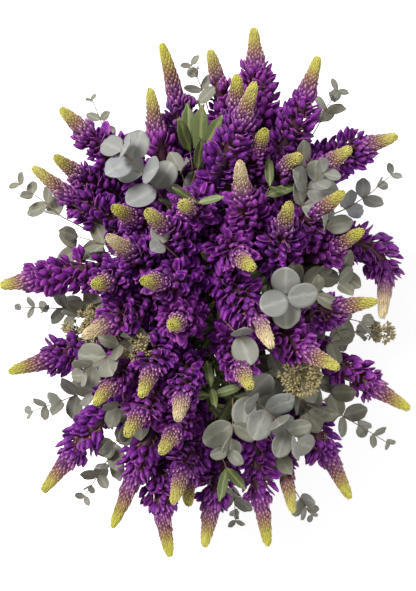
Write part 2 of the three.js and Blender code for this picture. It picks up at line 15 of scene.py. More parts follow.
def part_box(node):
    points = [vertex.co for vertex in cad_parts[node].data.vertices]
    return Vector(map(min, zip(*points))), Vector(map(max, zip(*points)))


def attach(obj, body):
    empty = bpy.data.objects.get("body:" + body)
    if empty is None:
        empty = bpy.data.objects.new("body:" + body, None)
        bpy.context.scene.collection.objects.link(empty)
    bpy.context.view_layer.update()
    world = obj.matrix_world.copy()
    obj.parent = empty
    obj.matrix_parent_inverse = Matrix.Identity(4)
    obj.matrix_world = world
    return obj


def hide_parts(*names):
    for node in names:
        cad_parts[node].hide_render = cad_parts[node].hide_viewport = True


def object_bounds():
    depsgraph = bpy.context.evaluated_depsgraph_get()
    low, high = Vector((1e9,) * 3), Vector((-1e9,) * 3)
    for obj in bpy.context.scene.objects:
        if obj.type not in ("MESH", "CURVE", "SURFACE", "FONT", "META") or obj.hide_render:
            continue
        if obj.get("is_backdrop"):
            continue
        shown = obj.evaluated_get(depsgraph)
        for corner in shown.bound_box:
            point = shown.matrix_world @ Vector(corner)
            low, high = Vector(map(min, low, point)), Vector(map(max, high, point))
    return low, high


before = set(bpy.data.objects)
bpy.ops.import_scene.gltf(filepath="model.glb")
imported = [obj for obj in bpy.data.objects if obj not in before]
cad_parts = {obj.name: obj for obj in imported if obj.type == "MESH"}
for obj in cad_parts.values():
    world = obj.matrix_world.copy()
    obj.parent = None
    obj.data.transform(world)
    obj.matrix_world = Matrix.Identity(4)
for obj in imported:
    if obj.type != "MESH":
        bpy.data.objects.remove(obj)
cad_low, cad_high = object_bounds()
MM = 0.001


def mm(*sizes):
    """Sizes in millimetres, in the scene's own metres."""
    return tuple(size * MM for size in sizes)


print(f"{len(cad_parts)} nodes, {(cad_high - cad_low).z / MM:.0f} mm tall")

# %% [markdown]
# The camera hangs over the middle of the bouquet and looks straight down, so the spikes in the middle
# point at it and are foreshortened, and the outer ones lie at full length. The lens is worked out
# from the length that the picture's long side takes in at the height of the outer spikes.

# %% Camera
CAMERA_HEIGHT = 2300 * MM
OUTER_SPIKE_HEIGHT = 300 * MM
LONG_SIDE_SEEN = 768.3 * MM

camera_data = bpy.data.cameras.new("overhead camera")
camera = bpy.data.objects.new("overhead camera", camera_data)
bpy.context.scene.collection.objects.link(camera)
camera.location = (0, 0, CAMERA_HEIGHT)
camera_data.lens = camera_data.sensor_width * (CAMERA_HEIGHT - OUTER_SPIKE_HEIGHT) / LONG_SIDE_SEEN
bpy.context.scene.camera = camera
print(f"lens {camera_data.lens:.1f} mm")

# %% [markdown]
# The floor is a broad, plain, nearly white sheet. Two very large soft lamps stand to the sides and
# out of the camera's sight, and a bright even sky fills the shadows, as a light tent does.

# %% Floor and lights
FLOOR_SIZE = 30
SKY_STRENGTH = 0.36
FLOOR_GLOW = 0.48  # the lit sheet passes on light from below, which keeps shadows on it faint
# each lamp's place, width and power
LAMPS = {
    "key lamp": ((-1.0, 1.0, 2.5), 0.9, 80),
    "fill lamp": ((1.3, -0.9, 2.3), 1.4, 20),
}


def colour(red, green, blue):
    """A screen colour, 0 to 255, as the linear colour that shaders use."""
    def linear(value):
        part = value / 255
        return part / 12.92 if part <= 0.04045 else ((part + 0.055) / 1.055) ** 2.4
    return (linear(red), linear(green), linear(blue), 1)


def grey(level):
    """A plain number, from 0 to 1, in the form of a shader's colour."""
    return (level, level, level, 1)


def plain_material(name, base, roughness):
    """A material with one colour and one roughness, and its main shader."""
    material = bpy.data.materials.new(name)
    material.use_nodes = True
    shader = material.node_tree.nodes["Principled BSDF"]
    shader.inputs["Base Color"].default_value = base
    shader.inputs["Roughness"].default_value = roughness
    return material, shader


bpy.ops.object.select_all(action="DESELECT")
bpy.ops.mesh.primitive_plane_add(size=FLOOR_SIZE)
floor = bpy.context.object
floor.name = "floor"
floor_material, floor_shader = plain_material("pale floor", colour(247, 247, 247), 0.9)
floor_shader.inputs["Emission Color"].default_value = (1, 1, 1, 1)
floor_shader.inputs["Emission Strength"].default_value = FLOOR_GLOW
floor.data.materials.append(floor_material)
floor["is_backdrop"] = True

for name, (place, size, power) in LAMPS.items():
    lamp = bpy.data.lights.new(name, "AREA")
    lamp.shape = "DISK"
    lamp.size = size
    lamp.energy = power
    holder = bpy.data.objects.new(name, lamp)
    holder.location = place
    towards = Vector((0, 0, OUTER_SPIKE_HEIGHT)) - holder.location
    holder.rotation_euler = towards.to_track_quat("-Z", "Y").to_euler()
    bpy.context.scene.collection.objects.link(holder)

sky = bpy.data.worlds.new("bright sky")
sky.use_nodes = True
sky.node_tree.nodes["Background"].inputs["Color"].default_value = (1, 1, 1, 1)
sky.node_tree.nodes["Background"].inputs["Strength"].default_value = SKY_STRENGTH
bpy.context.scene.world = sky
bpy.context.scene.view_settings.view_transform = "Standard"
print("floor, sky and", len(LAMPS), "lamps")

# %% [markdown]
# The finishes come next. A petal isn't one colour: it is darkest in its throat and paler at its thin
# rim, partly its own colour and partly painted light, as if shining through the edge. The wings carry
# a painted highlight on their outer ends and sides too. So each mesh carries a few numbers at its
# points, called attributes: how far from the spike's tip the flower grew, how near the petal's rim or
# the wings' painted highlight the point is, and a little difference of its own for each flower. Colour
# ramps turn those numbers into colours.


# %% Tools for finishes
def add_node(material, kind, **values):
    """A new shader node, with some of its settings."""
    node = material.node_tree.nodes.new(kind)
    for key, value in values.items():
        setattr(node, key, value)
    return node


def link(material, output, node, socket):
    """Joins an output to a node's named or numbered input."""
    material.node_tree.links.new(output, node.inputs[socket])


def attribute(material, name):
    """The value of a mesh attribute."""
    return add_node(material, "ShaderNodeAttribute", attribute_name=name).outputs["Fac"]


def ramp(material, factor, stops):
    """A colour for each factor from 0 to 1, given as pairs of position and colour."""
    node = add_node(material, "ShaderNodeValToRGB")
    elements = node.color_ramp.elements
    while len(elements) < len(stops):
        elements.new(1)
    for element, (position, shade) in zip(elements, stops):
        element.position = position
        element.color = shade
    link(material, factor, node, "Fac")
    return node.outputs["Color"]


def blend(material, factor, first, second, mode="MIX"):
    """Two colours mixed. The factor is a number or another node's output."""
    node = add_node(material, "ShaderNodeMix", data_type="RGBA", blend_type=mode)
    if isinstance(factor, (int, float)):
        node.inputs["Factor"].default_value = factor
    else:
        link(material, factor, node, "Factor")
    for socket, value in ((6, first), (7, second)):
        if isinstance(value, tuple):
            node.inputs[socket].default_value = value
        else:
            link(material, value, node, socket)
    return node.outputs[2]


def calculate(material, operation, first, second):
    """A sum, product or other operation on two values."""
    node = add_node(material, "ShaderNodeMath", operation=operation, use_clamp=True)
    for socket, value in ((0, first), (1, second)):
        if isinstance(value, (int, float)):
            node.inputs[socket].default_value = value
        else:
            link(material, value, node, socket)
    return node.outputs[0]


def tint(material, base, factor, amount, second, mode="MIX"):
    """A colour with a second one mixed in, by a factor that is first multiplied by an amount."""
    return blend(material, calculate(material, "MULTIPLY", factor, amount), base, second, mode)


def noise(material, scale, detail=3.0, stretch=(1, 1, 1)):
    """Cloudy noise in the object's own space, with its size in waves to a metre."""
    place = add_node(material, "ShaderNodeTexCoord")
    mapping = add_node(material, "ShaderNodeMapping")
    mapping.inputs["Scale"].default_value = stretch
    link(material, place.outputs["Object"], mapping, "Vector")
    node = add_node(material, "ShaderNodeTexNoise")
    node.inputs["Scale"].default_value = scale
    node.inputs["Detail"].default_value = detail
    link(material, mapping.outputs["Vector"], node, "Vector")
    return node.outputs["Fac"]


def bump(material, shader, height, distance, strength=0.5):
    """Fine relief on a surface."""
    node = add_node(material, "ShaderNodeBump")
    node.inputs["Distance"].default_value = distance
    node.inputs["Strength"].default_value = strength
    link(material, height, node, "Height")
    link(material, node.outputs["Normal"], shader, "Normal")


# %% [markdown]
# The lupin's petals. The ramp runs from the tip (0) to 200 mm below it (1): yellow-green scales,
# then peach-edged buds, then mauve ones, then open violet florets.

# %% Petal finish
GROWN = 200 * MM  # distance from the tip at which the ramps end
RIM_AND_HIGHLIGHT_SHARPNESS = 1.6
DARKER = (0.5, 0.45, 0.68, 1)  # what the darkest flowers' colour is multiplied by
DEEPER = (0.46, 0.3, 0.6, 1)  # and the same for deep-coloured patches

petal, petal_shader = plain_material("lupin petal", colour(81, 35, 94), 0.55)
petal_shader.inputs["Specular IOR Level"].default_value = 0.25
petal_shader.inputs["Sheen Weight"].default_value = 0.04
petal_shader.inputs["Sheen Roughness"].default_value = 0.4
petal_shader.inputs["Subsurface Weight"].default_value = 0.2
petal_shader.inputs["Subsurface Radius"].default_value = (0.004, 0.002, 0.004)

age = attribute(petal, "age")
throat_colours = ramp(petal, age, [
    (0.0, colour(194, 194, 52)),
    (0.1, colour(172, 166, 56)),
    (0.15, colour(146, 116, 62)),
    (0.2, colour(118, 66, 72)),
    (0.25, colour(98, 30, 88)),
    (0.32, colour(98, 14, 110)),
    (0.4, colour(110, 2, 132)),
    (0.6, colour(108, 1, 134)),
    (1.0, colour(96, 0, 124)),
])
# the paler rim's colours, which also give the wings their painted highlight
rim_colours = ramp(petal, age, [
    (0.0, colour(232, 232, 118)),
    (0.12, colour(234, 224, 142)),
    (0.19, colour(236, 212, 168)),
    (0.26, colour(232, 190, 182)),
    (0.33, colour(228, 166, 196)),
    (0.42, colour(222, 128, 208)),
    (0.7, colour(204, 98, 202)),
    (1.0, colour(188, 74, 194)),
])
# the rim mask, sharpened: the petals' own paler edge, painted light through the thin edge, and a painted
# highlight on the wings' outer ends and sides
edge_and_highlight = calculate(petal, "POWER", attribute(petal, "rim"), RIM_AND_HIGHLIGHT_SHARPNESS)
petal_colour = blend(petal, edge_and_highlight, throat_colours, rim_colours)
pale_tip = calculate(petal, "MULTIPLY", attribute(petal, "cream"), ramp(petal, age, [
    (0.0, grey(0.9)),
    (0.14, grey(0.6)),
    (0.24, grey(0.25)),
    (0.34, grey(0)),
    (1.0, grey(0)),
]))
petal_colour = blend(petal, pale_tip, petal_colour, colour(232, 214, 176))
petal_colour = blend(petal, attribute(petal, "calyx"), petal_colour, colour(170, 122, 92))
petal_colour = tint(petal, petal_colour, attribute(petal, "tone"), 0.5, DARKER, "MULTIPLY")
opened = ramp(petal, age, [
    (0.0, grey(0)),
    (0.26, grey(0)),
    (0.4, grey(1)),
    (1.0, grey(1)),
])
patches = calculate(petal, "MULTIPLY", calculate(petal, "SUBTRACT", noise(petal, 150, 2), 0.42), 5)
petal_colour = tint(petal, petal_colour, patches, opened, DEEPER, "MULTIPLY")
petal_colour = tint(petal, petal_colour, attribute(petal, "warm"), opened, colour(184, 72, 172))
mottle = noise(petal, 420)
petal_colour = tint(petal, petal_colour, mottle, 0.35, colour(96, 36, 140), "SOFT_LIGHT")
link(petal, petal_colour, petal_shader, "Base Color")
bump(petal, petal_shader, mottle, 0.4 * MM, 0.35)
print("petal finish made")

# %% [markdown]
# Stems, twigs, leaves and the binding get their finishes in the same way. A stem is green and faintly
# streaked along its length, with a pale cut end. Under the open florets its thick core is dark violet:
# painted shade for the florets deep in the spike. Eucalyptus leaves carry a waxy bloom that hides
# their green: the young ones in the middle are silvery, and the older ones round the edge are olive.

# %% Stem and twig finishes
STEM_GROWN = 300 * MM  # distance from the tip at which the stem's ramp ends
CUT_EDGE = 0.4 * MM  # the pale cut end reaches this far up

stem, stem_shader = plain_material("lupin stem", colour(96, 118, 58), 0.5)
rachis_and_core_shade = ramp(stem, attribute(stem, "age"), [
    (0.0, colour(186, 184, 60)),
    (0.11, colour(164, 150, 60)),
    (0.17, colour(96, 48, 62)),
    (0.24, colour(84, 44, 62)),
    (0.34, colour(82, 48, 58)),
    # from 0.48 to 0.66 the thick core under the open florets is dark violet: painted shade, standing in for
    # the shaded florets deep in the spike
    (0.48, colour(52, 20, 60)),
    (0.66, colour(46, 10, 62)),
    (0.78, colour(84, 100, 50)),
    (1.0, colour(98, 124, 60)),
])
streaks = noise(stem, 260, stretch=(1, 1, 0.06))
stem_colour = tint(stem, rachis_and_core_shade, streaks, 0.5, (0.4, 0.5, 0.4, 1), "MULTIPLY")
height = add_node(stem, "ShaderNodeSeparateXYZ")
link(stem, add_node(stem, "ShaderNodeTexCoord").outputs["Object"], height, "Vector")
cut = calculate(stem, "LESS_THAN", height.outputs["Z"], CUT_EDGE)
stem_colour = blend(stem, cut, stem_colour, colour(206, 214, 158))
link(stem, stem_colour, stem_shader, "Base Color")
bump(stem, stem_shader, streaks, 0.5 * MM, 0.4)

twig, twig_shader = plain_material("eucalyptus twig", colour(142, 104, 84), 0.6)
twig_mottle = noise(twig, 300, stretch=(1, 1, 0.2))
twig_colour = blend(twig, twig_mottle, colour(150, 108, 92), colour(110, 112, 76))
link(twig, twig_colour, twig_shader, "Base Color")
bump(twig, twig_shader, twig_mottle, 0.4 * MM, 0.4)
print("stem and twig finishes made")

# %% [markdown]
# A leaf's veins are drawn from two numbers at its points: how far along the leaf a point is, and how
# far to the side. The first less a share of the second, folded into a zigzag, gives slanted lines
# that meet at the midrib.


# %% Leaf, bud and twine finishes
VEIN_SHARPNESS = 7


def veins(material, spacing, slant):
    """Side veins that leave a leaf's midrib at a slant: 1 on a vein and 0 between."""
    slanted = add_node(material, "ShaderNodeMath", operation="MULTIPLY_ADD")
    link(material, attribute(material, "aside"), slanted, 0)
    slanted.inputs[1].default_value = -slant
    link(material, attribute(material, "along"), slanted, 2)
    wave = add_node(material, "ShaderNodeMath", operation="PINGPONG")
    link(material, slanted.outputs[0], wave, 0)
    wave.inputs[1].default_value = spacing
    scaled = calculate(material, "DIVIDE", wave.outputs[0], spacing)
    return calculate(material, "POWER", scaled, VEIN_SHARPNESS)


bloom, bloom_shader = plain_material("eucalyptus leaf", colour(159, 158, 152), 0.62)
bloom_shader.inputs["Sheen Weight"].default_value = 0.25
bloom_shader.inputs["Sheen Roughness"].default_value = 0.5
leaf_base = blend(bloom, attribute(bloom, "silver"), colour(107, 104, 76), colour(131, 135, 139))
leaf_base = tint(bloom, leaf_base, attribute(bloom, "tone"), 0.6, colour(112, 107, 80))
leaf_base = tint(bloom, leaf_base, noise(bloom, 90, 4), 0.25, colour(162, 164, 162))
fine_veins = veins(bloom, 0.07, 0.55)
leaf_base = tint(bloom, leaf_base, fine_veins, 0.14, colour(184, 187, 180))
leaf_base = tint(bloom, leaf_base, attribute(bloom, "rib"), 0.28, colour(194, 194, 182))
link(bloom, leaf_base, bloom_shader, "Base Color")
bump(bloom, bloom_shader, fine_veins, 0.3 * MM, 0.15)

blade, blade_shader = plain_material("green leaf", colour(96, 112, 58), 0.45)
blade_base = blend(blade, attribute(blade, "tone"), colour(104, 118, 70), colour(66, 78, 34))
blade_base = tint(blade, blade_base, noise(blade, 160), 0.4, colour(58, 62, 26))
blade_veins = veins(blade, 0.055, 0.9)
blade_base = tint(blade, blade_base, blade_veins, 0.3, colour(140, 148, 92))
blade_base = tint(blade, blade_base, attribute(blade, "rib"), 0.6, colour(160, 162, 104))
link(blade, blade_base, blade_shader, "Base Color")
bump(blade, blade_shader, blade_veins, 0.4 * MM, 0.5)

seed_coat, seed_shader = plain_material("eucalyptus bud", colour(150, 140, 104), 0.7)
seed_spots = noise(seed_coat, 700)
seed_colour = blend(seed_coat, seed_spots, colour(130, 116, 76), colour(186, 172, 126))
link(seed_coat, seed_colour, seed_shader, "Base Color")
bump(seed_coat, seed_shader, seed_spots, 0.3 * MM, 0.5)

twine, twine_shader = plain_material("jute twine", colour(176, 142, 92), 0.95)
fibres = noise(twine, 900, 6, stretch=(1, 1, 0.3))
twine_colour = blend(twine, fibres, colour(136, 102, 58), colour(214, 184, 134))
link(twine, twine_colour, twine_shader, "Base Color")
twine_shader.inputs["Sheen Weight"].default_value = 0.3
bump(twine, twine_shader, fibres, 0.5 * MM, 0.8)
print("leaf, bud and twine finishes made")

# %% [markdown]
# Now the shapes that repeat. Each is modelled once: a primitive is added, and some of its
# points are picked and moved or resized in edit mode. It is kept as a pattern, which is its points,
# its faces and its attributes, and copies of it are planted in a bed, which becomes one mesh.


# %% Tools for shapes
def add_shape(operator, size, place=(0, 0, 0), turn=(0, 0, 0), **settings):
    """A primitive, turned, then given its half sizes along x, y and z, then moved to its place."""
    bpy.ops.object.select_all(action="DESELECT")
    operator(location=(0, 0, 0), rotation=turn, **settings)
    thing = bpy.context.object
    bpy.ops.object.transform_apply(location=False, rotation=True, scale=False)
    thing.scale = size
    thing.location = place
    bpy.ops.object.transform_apply(location=True, rotation=False, scale=True)
    return thing


def add_ball(size, place, segments=6, ring_count=5):
    """A ball with its poles on the x axis, drawn out or flattened by its half sizes."""
    return add_shape(
        bpy.ops.mesh.primitive_uv_sphere_add, size, place, turn=(0, math.pi / 2, 0),
        segments=segments, ring_count=ring_count,
    )


def reshape(thing, rule, move=(0, 0, 0), grow=(1, 1, 1), about=(0, 0, 0)):
    """In edit mode, moves and resizes the points that a rule on x, y and z picks."""
    bpy.context.view_layer.objects.active = thing
    bpy.context.tool_settings.mesh_select_mode = (True, False, False)
    bpy.ops.object.mode_set(mode="EDIT")
    bpy.ops.mesh.select_all(action="DESELECT")
    bpy.ops.object.mode_set(mode="OBJECT")
    for point in thing.data.vertices:
        point.select = bool(rule(*point.co))
    bpy.ops.object.mode_set(mode="EDIT")
    bpy.ops.transform.resize(value=grow, center_override=about)
    bpy.ops.transform.translate(value=move)
    bpy.ops.object.mode_set(mode="OBJECT")


def join(things):
    """Joins several meshes into the first."""
    bpy.ops.object.select_all(action="DESELECT")
    for thing in things:
        thing.select_set(True)
    bpy.context.view_layer.objects.active = things[0]
    bpy.ops.object.join()
    return things[0]


def pattern_of(thing, **traits):
    """A mesh as arrays. Each trait is a rule on the arrays x, y and z, and is kept from 0 to 1."""
    mesh = thing.data
    points = np.array([point.co for point in mesh.vertices])
    pattern = {
        "points": points,
        "corners": np.array([corner.vertex_index for corner in mesh.loops]),
        "sizes": np.array([face.loop_total for face in mesh.polygons]),
        "traits": {name: np.clip(rule(*points.T), 0, 1) for name, rule in traits.items()},
    }
    bpy.data.objects.remove(thing)
    return pattern


def past(values, start, reach):
    """How far values go past a start, in millimetres: 0 up to the start and 1 at a reach beyond it."""
    return np.maximum(values - start * MM, 0) / (reach * MM)


# %% [markdown]
# A bed collects the copies. numpy works out the points of all the copies of a pattern at once, which
# is far quicker than copying thousands of objects, and the bed then becomes a single mesh.


# %% Tools for planting
def new_bed(*traits):
    """An empty bed, whose plants all carry the same traits."""
    bed = {key: [] for key in ("points", "corners", "sizes", "finish")}
    bed["traits"] = {name: [] for name in traits}
    return bed


def placed(x, y, size, root):
    """A place from a root, a size and the directions x and y."""
    return np.column_stack([x * size, y * size, np.cross(x, y) * size, root])


def plant(bed, pattern, places, finish, **values):
    """Adds a copy of a pattern at each place. A place is 3 x 4: directions x, y, z and the root."""
    places = np.asarray(places, float).reshape(-1, 3, 4)
    count, width = len(places), len(pattern["points"])
    first = sum(len(points) for points in bed["points"])
    points = np.einsum("kij,nj->kni", places[:, :, :3], pattern["points"]) + places[:, None, :, 3]
    shift = first + width * np.arange(count)[:, None]
    bed["points"].append(points.reshape(-1, 3))
    bed["corners"].append((pattern["corners"][None] + shift).ravel())
    bed["sizes"].append(np.tile(pattern["sizes"], count))
    bed["finish"].append(np.full(count * len(pattern["sizes"]), finish))
    for name, kept in bed["traits"].items():
        own = pattern["traits"].get(name, np.zeros(width))
        given = np.broadcast_to(np.asarray(values.get(name, 0.0), float), (count,))
        kept.append((own[None] + given[:, None]).ravel())


def grow(bed, name, finishes):
    """Turns a bed into one smooth mesh with its finishes."""
    points, corners, sizes = (np.concatenate(bed[key]) for key in ("points", "corners", "sizes"))
    points[:, 2] = np.maximum(points[:, 2], 0)  # the cut ends stand flat on the floor
    mesh = bpy.data.meshes.new(name)
    mesh.vertices.add(len(points))
    mesh.vertices.foreach_set("co", points.ravel())
    mesh.loops.add(len(corners))
    mesh.loops.foreach_set("vertex_index", corners.astype(np.int32))
    mesh.polygons.add(len(sizes))
    mesh.polygons.foreach_set("loop_start", (np.cumsum(sizes) - sizes).astype(np.int32))
    mesh.polygons.foreach_set("material_index", np.concatenate(bed["finish"]).astype(np.int32))
    for trait, kept in bed["traits"].items():
        layer = mesh.attributes.new(trait, "FLOAT", "POINT")
        layer.data.foreach_set("value", np.concatenate(kept).astype(np.float32))
    for finish in finishes:
        mesh.materials.append(finish)
    mesh.update(calc_edges=True)
    mesh.shade_smooth()
    piece = bpy.data.objects.new(name, mesh)
    bpy.context.scene.collection.objects.link(piece)
    return piece


def hand_over(piece, node):
    """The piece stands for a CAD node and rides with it."""
    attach(piece, "root")
    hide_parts(node)


# %% [markdown]
# A lupin floret is a pea flower. Two wing petals close over the keel into a rounded pod with a
# groove between them. Above it stands the banner, a broad petal whose sides fold back, with a pale
# edge. The pod is a ball drawn out along x, and the banner a flattened one. z points to the tip.

# %% The open floret
FLORET_LENGTH = 27 * MM
BANNER_ABOVE = 4.2 * MM  # points above this height are the banner's

wings = add_ball(mm(10, 4.8, 5), mm(17, 0, -1), segments=8, ring_count=6)
reshape(wings, lambda x, y, z: x < 13 * MM, grow=(1, 0.6, 0.7), about=mm(13, 0, 0))
reshape(wings, lambda x, y, z: abs(y) < 0.5 * MM and z > 2 * MM, move=mm(0, 0, -2.8))
reshape(wings, lambda x, y, z: abs(y) < 0.5 * MM and z < -3 * MM, move=mm(0, 0, 1.6))
reshape(wings, lambda x, y, z: x > 19 * MM, move=mm(0, 0, 1.2), grow=(1, 0.85, 0.9), about=mm(19, 0, 0))
reshape(wings, lambda x, y, z: x > 24 * MM, move=mm(0, 0, 1.6), grow=(1, 0.7, 0.7), about=mm(24, 0, 0))

banner = add_ball(mm(10.4, 6.6, 0.6), mm(15.2, 0, 4.8), segments=8, ring_count=6)
reshape(banner, lambda x, y, z: abs(y) > 3 * MM, move=mm(0, 0, 0.8))
reshape(banner, lambda x, y, z: abs(y) > 5 * MM, move=mm(0, 0, 1.2), grow=(1, 0.92, 1))
reshape(banner, lambda x, y, z: x > 15 * MM, move=mm(0, 0, 0.8))
reshape(banner, lambda x, y, z: x > 20 * MM, move=mm(0, 0, 1.6), grow=(1, 0.85, 1), about=mm(20, 0, 0))
reshape(banner, lambda x, y, z: x > 24 * MM, move=mm(-0.6, 0, 1.4))
reshape(banner, lambda x, y, z: x < 10 * MM, move=mm(0, 0, -3), grow=(1, 0.6, 0.6), about=mm(10, 0, 4))

stalk = add_shape(
    bpy.ops.mesh.primitive_cylinder_add, mm(4, 0.8, 0.8), place=mm(3.6, 0, 0),
    turn=(0, math.pi / 2, 0), vertices=3, radius=1, depth=2,
)
reshape(stalk, lambda x, y, z: x > 5 * MM, grow=(1, 2.6, 2.6), about=mm(7, 0, 0))
FLORET = pattern_of(
    join([wings, banner, stalk]),
    # the banner's paler rim, partly painted light through its thin edge; below it, a painted highlight on
    # the wings' outer ends and sides
    rim=lambda x, y, z: np.where(
        z > BANNER_ABOVE,
        past(np.abs(y), 2.4, 2.5) + past(x, 20.4, 4.2),
        past(x, 15, 20) + past(np.abs(y), 3.2, 4),
    ),
    calyx=lambda x, y, z: (10.4 * MM - x) / (3.4 * MM),
)
print("open floret:", len(FLORET["sizes"]), "faces")

# %% [markdown]
# Buds stand above the open florets. A bud is a closed, curved teardrop whose point turns up to the
# tip of the spike. Higher still, it is a pointed green scale that lies close to its neighbours.

# %% The bud and the scale
BUD_LENGTH = 12 * MM
SCALE_LENGTH = 9 * MM

bud = add_ball(mm(6, 2.4, 2.1), mm(6.4, 0, 0))
reshape(bud, lambda x, y, z: x < 4.5 * MM, grow=(1, 0.7, 0.7), about=mm(4.5, 0, 0))
reshape(bud, lambda x, y, z: x > 8 * MM, move=mm(0, 0, 0.8), grow=(1, 0.75, 0.75), about=mm(8, 0, 0))
reshape(bud, lambda x, y, z: x > 11 * MM, move=mm(0, 0, 1.0))
BUD = pattern_of(
    bud,
    rim=lambda x, y, z: past(x, 8, 4.2) + past(np.abs(y), 1.1, 1.2),
    calyx=lambda x, y, z: (2.6 * MM - x) / (1.5 * MM),
)

scale = add_ball(mm(4.5, 2, 1.1), mm(4.5, 0, 0))
reshape(scale, lambda x, y, z: x > 5.4 * MM, grow=(1, 0.7, 0.9), about=mm(5.4, 0, 0))
reshape(scale, lambda x, y, z: x > 8 * MM, grow=(1, 0.6, 1))
SCALE = pattern_of(
    scale,
    rim=lambda x, y, z: past(x, 5.6, 3.2) + past(np.abs(y), 0.9, 1.1),
)
print("bud:", len(BUD["sizes"]), "faces; scale:", len(SCALE["sizes"]), "faces")

# %% [markdown]
# A spike's line runs up the middle of its solid. The solid's rings of points are read from the cut
# end upwards, and the mean of each ring is a point of that line. A smooth curve through those points
# is the stem, and the distance from its top end says how old the flowers are.


# %% The line of each stem
SAME_POINT = 0.01 * MM
NEAR_FLOOR = 0.1 * MM


def ring_centres(node):
    """The middle of each ring of a lupin solid, from the cut end to the tip."""
    solid = bmesh.new()
    solid.from_mesh(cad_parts[node].data)
    bmesh.ops.remove_doubles(solid, verts=solid.verts, dist=SAME_POINT)
    ring = [point for point in solid.verts if point.co.z < NEAR_FLOOR]
    seen = set(ring)
    centres = []
    while ring:
        centres.append(np.mean([point.co for point in ring], axis=0))
        others = {edge_and_highlight.other_vert(point) for point in ring for edge_and_highlight in point.link_edges}
        ring = [other for other in others if other not in seen]
        seen.update(ring)
    solid.free()
    return np.array(centres)


def smooth_point(points, share):
    """A point at a share of a smooth line through all the points."""
    at = min(share * (len(points) - 1), len(points) - 1 - 1e-9)
    i = int(at)
    t = at - i
    p1, p2 = points[i], points[i + 1]
    p0 = points[i - 1] if i > 0 else 2 * p1 - p2
    p3 = points[i + 2] if i + 2 < len(points) else 2 * p2 - p1
    return 0.5 * (
        (-t + 2 * t * t - t ** 3) * p0 + (2 - 5 * t * t + 3 * t ** 3) * p1
        + (t + 4 * t * t - 3 * t ** 3) * p2 + (-t * t + t ** 3) * p3
    )


def unit(vector):
    """A vector's direction, 1 long."""
    return vector / np.linalg.norm(vector)


def stem_pattern(line, radii, sides=8, **traits):
    """A round stem along a line: a curve with a round bevel, made a mesh. Its traits follow the line."""
    curve = bpy.data.curves.new("stem", "CURVE")
    curve.dimensions = "3D"
    curve.bevel_depth = 1
    curve.bevel_resolution = (sides - 4) // 2
    curve.use_fill_caps = True
    spline = curve.splines.new("POLY")
    spline.points.add(len(line) - 1)
    for point, place, radius in zip(spline.points, line, radii):
        point.co = (*place, 1)
        point.radius = radius
    thing = bpy.data.objects.new("stem", curve)
    bpy.context.scene.collection.objects.link(thing)
    bpy.ops.object.select_all(action="DESELECT")
    thing.select_set(True)
    bpy.context.view_layer.objects.active = thing
    bpy.ops.object.convert(target="MESH")
    pattern = pattern_of(bpy.context.object)
    gaps = np.linalg.norm(pattern["points"][:, None] - np.asarray(line)[None], axis=2)
    nearest = np.argmin(gaps, axis=1)
    pattern["traits"] = {name: np.asarray(values)[nearest] for name, values in traits.items()}
    return pattern


AT_ORIGIN = np.hstack([np.eye(3), np.zeros((3, 1))])
lupin_names = sorted(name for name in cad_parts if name.startswith("lupin_"))
lines = {name: ring_centres(name) for name in lupin_names}
print(len(lines), "stems, each with", {len(line) for line in lines.values()}, "ring centres")

# %% [markdown]
# A silver-dollar leaf is a nearly round blade in an opposite pair. It starts as a disc, which is
# inset three times so that it has rings to shape. The middle is pressed down into a shallow bowl, the
# midrib is creased, and then the sheet gets its thickness. Three versions, flat, cupped and folded,
# keep the branches from looking stamped.


# %% The leaf patterns
INSET_SHARE = 0.115  # width of each ring, as a share of the leaf's width
LEAF_THICKNESS = 0.014  # as a share of the leaf's length
BOWL_STEPS = ((0.85, 0.5), (0.6, 0.3), (0.35, 0.2))  # how far out, and what share of the bowl
MIDRIB_HALF = 0.02
END_FROM, BASE_TO = 0.8, 0.14  # where the leaf starts to narrow at its end, and stops at its base


def leaf_blade(name, width, bowl, crease, curl, point, points=20, rings=3):
    """A leaf along x, 1 long, with its bowl, its creased midrib, its curled end and its point."""
    blade_mesh = add_shape(
        bpy.ops.mesh.primitive_circle_add, (0.5, width / 2, 1), place=(0.5, 0, 0),
        vertices=points, fill_type="NGON",
    )
    blade_mesh.name = name
    bpy.ops.object.mode_set(mode="EDIT")
    for _ in range(rings):
        bpy.ops.mesh.inset(thickness=width * INSET_SHARE)
    bpy.ops.mesh.poke()
    bpy.ops.object.mode_set(mode="OBJECT")
    for inside, drop in BOWL_STEPS:
        reshape(
            blade_mesh, lambda x, y, z: math.hypot((x - 0.5) / 0.5, y / (width / 2)) < inside,
            move=(0, 0, -bowl * drop),
        )
    reshape(blade_mesh, lambda x, y, z: abs(y) < MIDRIB_HALF, move=(0, 0, -crease))
    reshape(
        blade_mesh, lambda x, y, z: x > END_FROM,
        move=(0, 0, -curl), grow=(1, point, 1), about=(END_FROM, 0, 0),
    )
    reshape(blade_mesh, lambda x, y, z: x < BASE_TO, grow=(1, point, 1), about=(0.1, 0, 0))
    sheet = blade_mesh.modifiers.new("thickness", "SOLIDIFY")
    sheet.thickness = LEAF_THICKNESS
    sheet.offset = 0
    bpy.ops.object.modifier_apply(modifier="thickness")
    return pattern_of(
        blade_mesh,
        rib=lambda x, y, z: 1.1 - np.abs(y) / (0.05 * width + 0.02) + np.maximum(0.16 - x, 0) * 3,
        along=lambda x, y, z: x,
        aside=lambda x, y, z: np.abs(y) / width * 2,
    )


